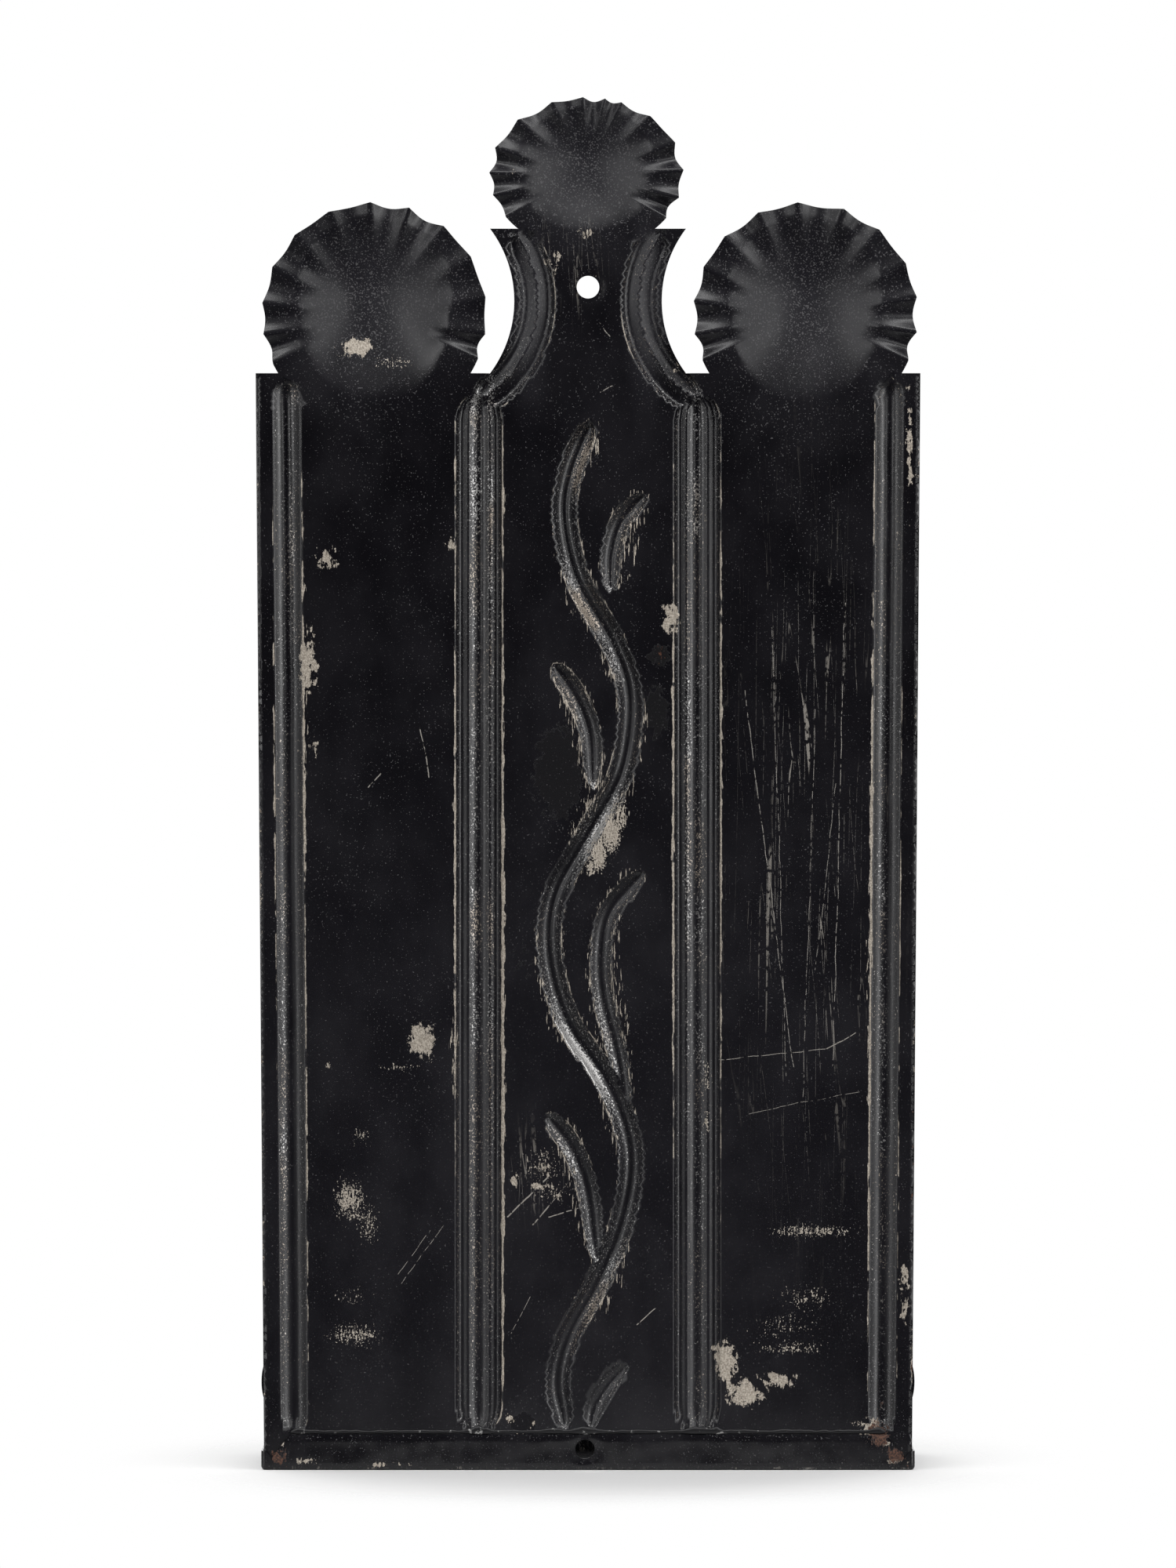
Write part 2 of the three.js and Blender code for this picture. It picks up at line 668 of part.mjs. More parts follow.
// Socket drawn with its foot at z = 0: turned-out foot, tube, and a lip rolled outwards
function candleSocket() {
  const radius = (socketBore + sheet) / 2;
  const lipRadius = (socketLip - sheet) / 2;
  const lipHeight = socketHeight - lipRadius - sheet / 2;
  const middle = [
    new THREE.Vector2(radius + socketFoot, sheet / 2),
    new THREE.Vector2(radius + socketFootBend, sheet / 2),
    new THREE.Vector2(radius, sheet / 2 + socketFootBend)
  ];
  const lipSteps = 5;
  for (let step = 0; step <= lipSteps; step += 1) {
    const angle = Math.PI - ((Math.PI * 4) / 3) * (step / lipSteps);
    const r = radius + lipRadius + lipRadius * Math.cos(angle);
    middle.push(new THREE.Vector2(r, lipHeight + lipRadius * Math.sin(angle)));
  }
  let socket = solidOf(turned(stripSection(middle, sheet)));

  // Snips that part the foot into tabs
  const tabRoot = radius + socketFootBend;
  for (let tab = 0; tab < footTabs; tab += 1) {
    const snip = new THREE.BoxGeometry(socketFoot + sheet, footSnip, 4 * sheet);
    snip.translate(tabRoot + (socketFoot + sheet) / 2, 0, 0);
    snip.rotateZ((2 * Math.PI * (tab + 0.5)) / footTabs);
    socket = socket.subtract(solidOf(snip));
  }

  // Lapped seam on the side that faces the plate
  const seamHalf = socketSeamWidth / (2 * radius);
  const seam = new THREE.Shape();
  seam.absarc(0, 0, radius + sheet * 1.5, Math.PI / 2 - seamHalf, Math.PI / 2 + seamHalf, false);
  seam.absarc(0, 0, radius, Math.PI / 2 + seamHalf, Math.PI / 2 - seamHalf, true);
  const seamFoot = socketFootBend + socketFillet + 2 * sheet + seatGap;
  const seamTop = lipHeight - lipRadius - sheet / 2;
  const lap = new THREE.ExtrudeGeometry(seam, {
    depth: seamTop - seamFoot,
    bevelEnabled: false,
    curveSegments: 3
  });
  lap.translate(0, 0, seamFoot);
  return geometryOf(socket.add(solidOf(lap)));
}

// Fillet of solder on the socket's foot, drawn from the same z = 0
function socketSolder() {
  const inner = socketBore / 2 + sheet + seatGap;
  const foot = sheet + seatGap;
  const bend = socketFootBend;
  return turned([
    new THREE.Vector2(inner + bend / 2, foot),
    new THREE.Vector2(inner + bend / 2 + socketFillet, foot),
    new THREE.Vector2(inner + socketFillet / 2, foot + socketFillet / 2),
    new THREE.Vector2(inner, foot + socketFillet + bend / 2),
    new THREE.Vector2(inner, foot + bend / 2)
  ]);
}

// Upright fillet of solder where the tray wall meets the plate
function cornerSolder(side) {
  const x = wallHalf - sheet / 2 - seatGap;
  const fillet = new THREE.Shape();
  fillet.moveTo(side * x, wallRear);
  fillet.lineTo(side * (x - cornerFillet), wallRear);
  const inner = cornerFillet / 4;
  fillet.quadraticCurveTo(side * (x - inner), wallRear - inner, side * x, wallRear - cornerFillet);
  const foot = plateFoot + seatGap;
  const top = curlHeight - curlRadius - sheet - seatGap;
  const settings = { depth: top - foot, bevelEnabled: false, curveSegments: 4 };
  const geometry = new THREE.ExtrudeGeometry(fillet, settings);
  geometry.translate(0, 0, foot);
  return geometry;
}

// Line of solder along the top of the rear flange, with a blob at the foot of each rib
function rearSolderSeam() {
  const steps = 40;
  const reach = mitreAt(rearFlange) - seatGap;
  const edgeRibX = halfWidthAt(rearFlange) - edgeRibMargin - edgeRibWidth / 2;
  const blobs = [-edgeRibX, -fieldRibSpacing / 2, 0, fieldRibSpacing / 2, edgeRibX];
  const blobSwell = (x, blob) => Math.exp(-(((2 * (x - blob)) / solderBlobWidth) ** 2));
  const stations = [];
  for (let step = 0; step <= steps; step += 1) {
    const x = THREE.MathUtils.lerp(-reach, reach, step / steps);
    const swell = blobs.reduce((sum, blob) => sum + blobSwell(x, blob), 0);
    stations.push({
      origin: new THREE.Vector3(x, seatGap, rearFlange + seatGap),
      across: new THREE.Vector3(0, 1, 0),
      deep: up,
      share: rearSeamLeastShare + solderBlobShare * Math.min(swell, 1)
    });
  }
  return sweep(stations, ({ share }) => {
    const proud = rearSeamProud * share;
    const rise = rearSeamHeight * share;
    return [
      new THREE.Vector2(0, 0),
      new THREE.Vector2(proud, 0),
      new THREE.Vector2(proud * rearSeamShoulderShares.proud, rise * rearSeamShoulderShares.rise),
      new THREE.Vector2(0, rise)
    ];
  });
}

// Finishes
const japanned = { color: 0x17171b, roughness: 0.34, metalness: 0.35 };
const solderGrey = { color: 0x3a3a3c, roughness: 0.5, metalness: 0.7 };
const bareWire = { color: 0x5a5651, roughness: 0.45, metalness: 0.9 };

function piece(name, geometry, finish) {
  const mesh = new THREE.Mesh(geometry, new THREE.MeshStandardMaterial(finish));
  mesh.name = name;
  return mesh;
}

const sconce = new THREE.Group();
sconce.add(piece('back_plate', backPlate(), japanned));
sconce.add(piece('rear_solder_seam', rearSolderSeam(), solderGrey));

const tray = new THREE.Group();
tray.add(piece('tray_pan', trayPan(), japanned));
tray.add(piece('tray_wall', trayWall(), japanned));
tray.add(piece('tray_rim_wire', trayRimWire(), bareWire));
sconce.add(tray);

for (const [hand, side] of [['left', -1], ['right', 1]]) {
  tray.add(piece(`corner_solder_${hand}`, cornerSolder(side), solderGrey));
  const holder = new THREE.Group();
  holder.add(piece(`candle_socket_${hand}`, candleSocket(), japanned));
  holder.add(piece(`socket_solder_${hand}`, socketSolder(), solderGrey));
  holder.position.set((side * socketSpacing) / 2, socketY, sheet + seatGap);
  tray.add(holder);
}

// The origin lies under the middle of the whole sconce
const extent = new THREE.Box3().setFromObject(sconce);
const middle = extent.getCenter(new THREE.Vector3());
sconce.position.set(-middle.x, -middle.y, 0);

export default sconce;
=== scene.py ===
# %% [markdown]
# A two-candle wall sconce in black japanned tinplate
# The sconce is seen from its wall side, where the pressed back plate shows as grooves and dishes.
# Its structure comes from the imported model, which is loaded first and stays where it is. Each
# thin sheet is then made again as a fine surface around it.

# %% Load the fixed frame
import json
import math

import bpy
import numpy as np
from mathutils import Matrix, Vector
from mathutils.geometry import delaunay_2d_cdt


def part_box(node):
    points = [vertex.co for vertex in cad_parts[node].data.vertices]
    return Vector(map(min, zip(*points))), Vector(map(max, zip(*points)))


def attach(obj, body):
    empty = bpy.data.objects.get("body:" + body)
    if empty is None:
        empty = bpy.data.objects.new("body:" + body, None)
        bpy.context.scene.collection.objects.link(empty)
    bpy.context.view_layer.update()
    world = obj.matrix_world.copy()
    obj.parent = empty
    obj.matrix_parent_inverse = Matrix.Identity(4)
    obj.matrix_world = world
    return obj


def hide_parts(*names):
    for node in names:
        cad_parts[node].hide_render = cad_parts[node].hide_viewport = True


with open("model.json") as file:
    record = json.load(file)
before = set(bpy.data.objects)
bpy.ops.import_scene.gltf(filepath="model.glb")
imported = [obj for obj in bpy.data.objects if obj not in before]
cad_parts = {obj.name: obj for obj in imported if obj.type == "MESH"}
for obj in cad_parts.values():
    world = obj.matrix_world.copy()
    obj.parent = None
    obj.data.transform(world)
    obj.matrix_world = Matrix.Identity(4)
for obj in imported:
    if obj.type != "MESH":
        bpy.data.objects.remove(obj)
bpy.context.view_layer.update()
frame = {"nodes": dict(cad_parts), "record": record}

print("nodes in the frame:", sorted(frame["nodes"]))

# %% [markdown]
# Sizes taken from the frame
# The shapes are worked out in millimetres and turned into metres when they become meshes. Each
# piece finds its place from the box of the node that it stands for. The hanging hole is a named
# mount, and it gives the height of the neck and the depth of the plate's back face.

# %% Sizes taken from the frame
MM = 0.001


def box_mm(node):
    """Lowest and highest corner of a node, in millimetres."""
    low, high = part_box(node)
    return np.array(low) / MM, np.array(high) / MM


mounts = {mount["name"]: np.array(mount["pos_m"]) / MM for mount in frame["record"]["mounts"]}
plate_back = mounts["hanging_hole"][1]
hole_height = mounts["hanging_hole"][2]
plate_low, plate_high = box_mm("back_plate")
pan_low, pan_high = box_mm("tray_pan")
wall_low, wall_high = box_mm("tray_wall")

sheet = 0.45
seat_gap = 0.3
hole_to_neck_top = 15.2
neck_height = 37.6
side_taper = 2.2
neck_top = hole_height + hole_to_neck_top
panel_top = neck_top - neck_height
plate_foot = plate_low[2]
half_top = plate_high[0]
half_foot = half_top - side_taper
print(f"plate back at y {plate_back:.2f} mm, panels up to {panel_top:.1f}, neck up to {neck_top:.1f}")

# %% [markdown]
# The camera
# The photograph is level and almost without perspective, as from a long lens. A camera three
# metres away does the same. Its lens follows from the height that it has to cover.

# %% Camera at the photograph's angle
picture_height = 408.0
picture_middle = 178.5
camera_distance = 3000.0
sensor_width = 36.0


def in_scene(name, data):
    """Object with this data, linked into the scene."""
    thing = bpy.data.objects.new(name, data)
    bpy.context.scene.collection.objects.link(thing)
    return thing


camera_data = bpy.data.cameras.new("long_lens")
camera_data.sensor_width = sensor_width
camera_data.lens = sensor_width * camera_distance / picture_height
camera = in_scene("camera", camera_data)
camera.location = (0, (plate_back + camera_distance) * MM, picture_middle * MM)
camera.rotation_euler = (math.pi / 2, 0, math.pi)
bpy.context.scene.camera = camera
bpy.context.scene.view_settings.view_transform = "Standard"
print(f"lens {camera_data.lens:.0f} mm")

# %% [markdown]
# Node trees in short
# Every material is a tree of nodes. A field is a value that the tree works out at each place.
# Fields can be added, multiplied and turned into soft masks as if they were numbers, and each
# such step adds its own node.

# %% Helpers for node trees


def cleared_tree(owner):
    """Empty node tree of a material or of the world."""
    owner.use_nodes = True
    owner.node_tree.nodes.clear()
    return owner.node_tree


def add_node(tree, kind, inputs=None, **settings):
    """A node of this kind, with its settings made and its inputs joined or given a value."""
    node = tree.nodes.new(f"ShaderNode{kind}")
    for name, value in settings.items():
        setattr(node, name, value)
    for key, value in (inputs or {}).items():
        value = value.socket if isinstance(value, Field) else value
        if isinstance(value, bpy.types.NodeSocket):
            tree.links.new(value, node.inputs[key])
        else:
            node.inputs[key].default_value = value
    return node


class Field:
    """A value that a tree works out at each place, with the socket that gives it."""

    def __init__(self, tree, socket):
        self.tree = tree
        self.socket = socket

    def step(self, operation, *values, clamp=False):
        """Field of one step of arithmetic on the values, which may be fields or numbers."""
        inputs = dict(enumerate(values))
        node = add_node(self.tree, "Math", inputs, operation=operation, use_clamp=clamp)
        return Field(self.tree, node.outputs[0])

    def __add__(self, other):
        return self.step("ADD", self, other)

    def __mul__(self, other):
        return self.step("MULTIPLY", self, other)

    def __sub__(self, other):
        return self.step("SUBTRACT", self, other)

    def __rsub__(self, other):
        return self.step("SUBTRACT", other, self)

    def __abs__(self):
        return self.step("ABSOLUTE", self)

    def kept(self):
        """The same field, kept between 0 and 1."""
        return self.step("ADD", self, 0, clamp=True)

    def mask(self, span):
        """Soft mask: 0 where the value is before the span, 1 beyond it, a smooth step within."""
        inputs = {"Value": self, "From Min": span[0], "From Max": span[1]}
        node = add_node(self.tree, "MapRange", inputs, interpolation_type="SMOOTHSTEP")
        return Field(self.tree, node.outputs["Result"])


def larger(first, *others):
    """Largest of several fields at each place."""
    for other in others:
        first = first.step("MAXIMUM", first, other)
    return first


def vector_step(tree, operation, *values, scale=None, output="Vector"):
    """One step of arithmetic on vectors. Only the step SCALE takes a scale."""
    inputs = dict(enumerate(values))
    if scale is not None:
        inputs["Scale"] = scale
    node = add_node(tree, "VectorMath", inputs, operation=operation)
    return Field(tree, node.outputs[output])


# %% [markdown]
# Floor and room
# The floor is a pale oval that fades into the white background, so only the soft shadow under the
# tray tells where it stands. Glossy black paint shows the room, and in the photograph the side of
# the room where the camera stands is dark. So the room is a pale grey that darkens towards that
# side, while rays that look towards the backdrop see it white.

# %% Floor
floor_half_width = 135.0
floor_half_depth = 215.0
floor_fade = (0.45, 0.99)
floor_albedo = 0.76
floor_sides = 96


def make_floor():
    """Flat oval at z = 0 whose paint fades out towards its rim."""
    half = np.array([floor_half_width, floor_half_depth, 1.0]) * MM
    turns = np.linspace(0, 2 * np.pi, floor_sides, endpoint=False)
    rim = np.stack([np.cos(turns), np.sin(turns), 0 * turns], 1) * half
    mesh = bpy.data.meshes.new("floor")
    mesh.from_pydata(rim.tolist(), [], [list(range(floor_sides))])
    material = bpy.data.materials.new("pale_floor")
    tree = cleared_tree(material)
    place = add_node(tree, "TexCoord").outputs["Object"]
    share = vector_step(tree, "MULTIPLY", place, tuple(1 / half))
    fade = vector_step(tree, "LENGTH", share, output="Value").mask(floor_fade)
    grey = (floor_albedo, floor_albedo, floor_albedo, 1)
    paint = add_node(tree, "BsdfDiffuse", {"Color": grey}).outputs[0]
    clear = add_node(tree, "BsdfTransparent").outputs[0]
    both = add_node(tree, "MixShader", {0: fade, 1: paint, 2: clear})
    add_node(tree, "OutputMaterial", {"Surface": both.outputs[0]})
    mesh.materials.append(material)
    in_scene("floor", mesh)


make_floor()
print(f"floor {2 * floor_half_width:.0f} by {2 * floor_half_depth:.0f} mm")

# %% Room light
room_grey = 0.3
dark_side_grey = 0.012
dark_side_from = (0.35, 0.8)
backdrop_from = (-0.75, -0.9)


def make_room():
    """World strength by direction: a pale grey that darkens in a wide cone towards +Y."""
    world = bpy.data.worlds.new("studio")
    bpy.context.scene.world = world
    tree = cleared_tree(world)
    look = add_node(tree, "TexCoord").outputs["Generated"]
    forward = Field(tree, add_node(tree, "SeparateXYZ", {0: look}).outputs["Y"])
    strength = forward.mask(dark_side_from) * (dark_side_grey - room_grey) + room_grey
    rays = add_node(tree, "LightPath").outputs
    mirror = larger(Field(tree, rays["Is Glossy Ray"]), rays["Is Transmission Ray"])
    shown = larger(mirror * forward.mask(backdrop_from), rays["Is Camera Ray"])
    strength = shown * (1.0 - strength) + strength
    shade = add_node(tree, "Background", {"Color": (1, 1, 1, 1), "Strength": strength})
    add_node(tree, "OutputWorld", {"Surface": shade.outputs[0]})


make_room()
print("room grey", room_grey, "and dark side", dark_side_grey)

# %% [markdown]
# Lamps
# Grooves in black varnish show by what their walls reflect. A broad weak bank of light gives the
# walls their grey, narrow strong strips give them bright lines, and all of them stand off the
# camera's axis. A lamp above and behind makes the short shadow in front of the foot, and a large
# panel lights the candle side, which the photograph doesn't show.

# %% Softboxes
softboxes = {
    "top_bank": {"place": (-60, 556, 1150), "size": (2200, 600), "power": 5.0},
    "top_strip": {"place": (-60, 600, 1130), "size": (2200, 110), "power": 7.0},
    "right_bank": {"place": (-971, 556, 300), "size": (700, 800), "power": 1.5},
    "right_strip": {"place": (-960, 600, 320), "size": (200, 1000), "power": 3.2},
    "right_near_strip": {"place": (-560, 950, 500), "size": (130, 460), "power": 1.0},
    "left_bank": {"place": (971, 556, 260), "size": (600, 800), "power": 0.6},
    "left_strip": {"place": (940, 640, 280), "size": (80, 1000), "power": 1.6},
    "left_near_strip": {"place": (540, 950, 480), "size": (130, 460), "power": 1.2},
    "behind_and_above": {"place": (120, -480, 1300), "size": (1400, 300), "power": 7.0},
    "candle_side_panel": {"place": (250, -1400, 800), "size": (1100, 800), "power": 12.0},
}


def softbox(name, place, size, power):
    """Area lamp at a place in millimetres, turned towards the middle of the sconce."""
    data = bpy.data.lights.new(name, "AREA")
    data.shape = "RECTANGLE"
    data.size, data.size_y = size[0] * MM, size[1] * MM
    data.energy = power
    lamp = in_scene(name, data)
    lamp.location = Vector(place) * MM
    aim = Vector((0, plate_back, picture_middle)) * MM - lamp.location
    lamp.rotation_euler = aim.to_track_quat("-Z", "Y").to_euler()
    lamp.visible_camera = False


for name, box in softboxes.items():
    softbox(name, **box)
print(len(softboxes), "softboxes")

# %% [markdown]
# From arrays to meshes
# There are three ways to make a sheet. A grid of points becomes a closed sheet when it is moved
# half its thickness both ways along its normals. A section that is carried along a path becomes a
# closed bar. A flat outline filled with triangles becomes a plate once each point is pushed to
# the depth of its relief.

# %% Helpers for arrays
length_spread = (0.7, 1.4)
tiny = 1e-9


def smooth(start, end, value):
    """Smooth step: 0 before start, 1 after end, and 3t^2 - 2t^3 between them."""
    t = np.clip((value - start) / (end - start), 0, 1)
    return t * t * (3 - 2 * t)


def bell(value, reach):
    """Bell about 0: e to the power of -(value / reach)^2."""
    return np.exp(-((value / reach) ** 2))


def directions(turn):
    """Level unit vectors at each angle: its cosine and its sine."""
    return np.stack([np.cos(turn), np.sin(turn)], 1)


def unevenness(x, z, seed, length, waves=7):
    """Slow swells of hand-worked sheet, about 1 high: sine waves of about this length, each in a
    random direction and phase, over the root of their number."""
    rng = np.random.default_rng(seed)
    total = np.zeros(np.shape(x))
    for _ in range(waves):
        turn, phase = rng.uniform(0, 2 * np.pi, 2)
        rate = 2 * np.pi / (length * rng.uniform(*length_spread))
        total = total + np.sin((x * np.cos(turn) + z * np.sin(turn)) * rate + phase)
    return total / np.sqrt(waves)


def unit(vectors):
    """Vectors made one long."""
    return vectors / np.maximum(np.linalg.norm(vectors, axis=-1, keepdims=True), tiny)


def grid_faces(rows, columns, wrap_rows=False, wrap_columns=False):
    """Four corners of each cell of a grid of points, row by row, as an array of indices."""
    row = np.arange(rows if wrap_rows else rows - 1)
    column = np.arange(columns if wrap_columns else columns - 1)
    r, c = np.meshgrid(row, column, indexing="ij")
    r2, c2 = (r + 1) % rows, (c + 1) % columns
    corners = [r * columns + c, r2 * columns + c, r2 * columns + c2, r * columns + c2]
    return np.stack(corners, -1).reshape(-1, 4)


def grid_normals(grid, wrap_rows):
    """Normals of a grid: the cross product of its steps along rows and along columns."""
    if wrap_rows:
        along = np.roll(grid, -1, 0) - np.roll(grid, 1, 0)
    else:
        along = np.gradient(grid, axis=0)
    return unit(np.cross(along, np.gradient(grid, axis=1)))


def signed_volume(points, faces):
    """Volume inside closed faces, as the sum of pyramids from the origin to their triangles. It
    is below zero where the faces point inwards."""
    fans = [(face[0], face[i], face[i + 1]) for face in faces for i in range(1, len(face) - 1)]
    a, b, c = points[np.array(fans)].transpose(1, 0, 2)
    return float(np.einsum("ij,ij->i", a, np.cross(b, c)).sum() / 6)


def outwards(points, faces):
    """A closed shell with its faces turned to point out."""
    if signed_volume(points, faces) < 0:
        faces = [face[::-1] for face in faces]
    return points, faces


def sheet_from_grid(grid, thickness, wrap_rows=False, capped=False):
    """Closed sheet with the grid as its middle: both faces lie half the thickness away along the
    normals, and a rim joins them. A capped sheet has its first column closed by two flat faces
    instead."""
    rows, columns = grid.shape[:2]
    normals = grid_normals(grid, wrap_rows)
    count = rows * columns
    points = np.concatenate([grid + normals * thickness / 2, grid - normals * thickness / 2])
    points = points.reshape(-1, 3)
    front = grid_faces(rows, columns, wrap_rows)
    faces = [*front.tolist(), *(front[:, ::-1] + count).tolist()]
    index = np.arange(count).reshape(rows, columns)
    ends = [index[:, -1]] if capped else [index[:, -1], index[::-1, 0]]
    loops = [(end, wrap_rows) for end in ends]
    if not wrap_rows:
        loops += [(index[0, :], False), (index[-1, ::-1], False)]
    for loop, closed in loops:
        a, b = (loop, np.roll(loop, -1)) if closed else (loop[:-1], loop[1:])
        faces += np.stack([a, a + count, b + count, b], 1).tolist()
    if capped:
        faces += [index[::-1, 0].tolist(), (index[:, 0] + count).tolist()]
    return outwards(points, faces)


def bar_from_rings(rings, wrap=False):
    """Closed bar through rings of points: a band from ring to ring, with a flat face at each end
    or endless."""
    count, length = rings.shape[:2]
    faces = grid_faces(count, length, wrap, True).tolist()
    if not wrap:
        last = (count - 1) * length
        faces += [list(range(length)), list(range(last, last + length))[::-1]]
    return outwards(rings.reshape(-1, 3), faces)


def joined(*parts):
    """Several closed shells as one list of points and one of faces."""
    points, faces, start = [], [], 0
    for part_points, part_faces in parts:
        points.append(part_points)
        faces += [[corner + start for corner in face] for face in part_faces]
        start += len(part_points)
    return np.concatenate(points), faces


def make_piece(name, node, part, marks=None, sharp_angle=45):
    """Mesh object for a node of the frame, from points in millimetres, smooth but for edges over
    the sharp angle. Its finish reads the marks, which are values at its points."""
    points, faces = part
    mesh = bpy.data.meshes.new(name)
    mesh.from_pydata((points * MM).tolist(), [], faces)
    mesh.polygons.foreach_set("use_smooth", np.ones(len(faces), bool))
    mesh.set_sharp_from_angle(angle=math.radians(sharp_angle))
    for mark, values in (marks or {}).items():
        layer = mesh.attributes.new(mark, "FLOAT", "POINT")
        layer.data.foreach_set("value", np.full(len(points), values, np.float32))
    mesh.update()
    piece = in_scene(name, mesh)
    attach(piece, "root")
    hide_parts(node)
    volume = signed_volume(points, faces) / 1000
    print(f"{name}: {len(points)} points, {len(faces)} faces, {volume:.2f} cubic centimetres")
    return piece


# %% [markdown]
# Relief of the back plate
# On the real plate a machine rolled the straight ribs, and punches pressed the stem, the leaves
# and the crests. All of it is a depth below the flat back, so the relief is one function of the
# place on the plate. Each groove is a path with a width, a depth and rounded ends.

# %% Ribs and mouldings
def plain_profile(s):
    """Share of the depth across a plain groove: (1 - s^2) to the power 1.25, with s from 0 at
    the middle to 1 at the shoulder."""
    return (1 - s**2) ** 1.25


def ridged_profile(s, ridge=0.45, trough=0.62):
    """Two troughs that meet in a ridge at the middle. With t the share of the way from the
    trough, it falls as (1 - t^2) to the power 1.2 outside, and by t to the power 1.6 within."""
    outside = np.clip((s - trough) / (1 - trough), 0, 1)
    within = np.clip((trough - s) / trough, 0, 1)
    return np.where(s > trough, (1 - outside**2) ** 1.2, 1 - (1 - ridge) * within**1.6)


def reeded_profile(s, ridge=0.46, ridge_place=0.46, cove=0.68, cove_place=0.72):
    """A trough in the middle, then a ridge and a narrow cove on each side. The trough and the
    cove's outer wall fall as (1 - t^2) to the powers 1.3 and 1.2, and a smooth step joins ridge
    and cove."""
    middle = ridge + (1 - ridge) * (1 - np.clip(s / ridge_place, 0, 1) ** 2) ** 1.3
    rising = ridge + (cove - ridge) * smooth(ridge_place, cove_place, s)
    outside = np.clip((s - cove_place) / (1 - cove_place), 0, 1)
    outer = cove * (1 - outside**2) ** 1.2
    return np.where(s < ridge_place, middle, np.where(s < cove_place, rising, outer))


edge_rib = {"width": 7.5, "depth": 1.9, "profile": plain_profile}
field_rib = {"width": 12.2, "depth": 2.4, "profile": reeded_profile}
neck_moulding = {"width": 9.4, "depth": 1.8, "profile": ridged_profile}
edge_margin = 4.1
edge_rib_inset = edge_margin + edge_rib["width"] / 2
field_rib_x = 28.4
rib_foot = 10.2
edge_rib_top = panel_top - 2.0
field_rib_top = panel_top - 6.0
neck_middle = (panel_top + neck_top) / 2
moulding_radius = 29.6
moulding_waist = 26.4
moulding_top = neck_top - 1.6
arc_steps = 40
round_share = 0.6
far_away = 99.0


def half_width(z):
    """Half width of the plate at a height: a straight taper from the panels' top to the foot."""
    share = (z - plate_foot) / (panel_top - plate_foot)
    return half_foot + (half_top - half_foot) * share


def arc_path(centre, radius, start, end, steps):
    """Points of an arc, from one angle to another in degrees, anticlockwise from +X."""
    return np.array(centre) + radius * directions(np.radians(np.linspace(start, end, steps)))


def nearest_on(path, x, z):
    """For each place, the distance to a path and how far along it the nearest point is, and
    the length of the whole path."""
    best = np.full(x.shape, np.inf)
    along = np.zeros(x.shape)
    run = 0.0
    for start, end in zip(path[:-1], path[1:]):
        step = end - start
        length = np.hypot(*step)
        share = np.clip(((x - start[0]) * step[0] + (z - start[1]) * step[1]) / length**2, 0, 1)
        distance = np.hypot(x - start[0] - share * step[0], z - start[1] - share * step[1])
        closer = distance < best
        best = np.where(closer, distance, best)
        along = np.where(closer, run + share * length, along)
        run += length
    return best, along, run


def end_share(distance, round_length, least=0.3):
    """Share of full size near an end: the least share plus a quarter circle up to 1."""
    run = np.clip(distance / round_length, 0, 1)
    return least + (1 - least) * np.sqrt(1 - (1 - run) ** 2)


def groove(x, z, path, width, depth, profile=plain_profile, rounds=None):
    """Depth of a groove along a path, and the distance outside its shoulder. Both sizes shrink
    towards its ends, over the lengths that rounds gives."""
    rounds = rounds or (width * round_share, width * round_share)
    low, high = path.min(0) - width, path.max(0) + width
    near = (x > low[0]) & (x < high[0]) & (z > low[1]) & (z < high[1])
    deep = np.zeros(x.shape)
    shoulder = np.full(x.shape, far_away)
    if not near.any():
        return deep, shoulder
    distance, along, total = nearest_on(path, x[near], z[near])
    share = np.minimum(end_share(along, rounds[0]), end_share(total - along, rounds[1]))
    half = width / 2 * share
    deep[near] = depth * share * profile(np.clip(distance / half, 0, 1))
    shoulder[near] = distance - half
    return deep, shoulder


def straight_ribs():
    """Paths of the four ribs: two that follow the tapering edges and two upright ones."""
    paths = []
    for side in (-1, 1):
        leaning = [(side * (half_width(z) - edge_rib_inset), z) for z in (rib_foot, edge_rib_top)]
        upright = [(side * field_rib_x, z) for z in (rib_foot, field_rib_top)]
        paths += [(np.array(leaning), edge_rib), (np.array(upright), field_rib)]
    return paths


def neck_mouldings():
    """Paths of the two hollow mouldings of the neck: arcs about a point outside the neck."""
    centre_x = moulding_waist / 2 + moulding_radius
    foot_turn = math.degrees(math.acos((centre_x - field_rib_x) / moulding_radius))
    top_turn = math.degrees(math.asin((moulding_top - neck_middle) / moulding_radius))
    turns = (180 + foot_turn, 180 - top_turn)
    right = arc_path((centre_x, neck_middle), moulding_radius, *turns, arc_steps)
    return [(right * (side, 1), neck_moulding) for side in (1, -1)]


print("ribs:", len(straight_ribs()), "mouldings:", len(neck_mouldings()))

# %% [markdown]
# The stem and its leaves
# The stem winds up the middle field, and each leaf leaves it and dies away. A smooth curve
# through a few places gives such a line. The places are shares of the field: across from its
# centre line, and up from the foot to the panels' top.

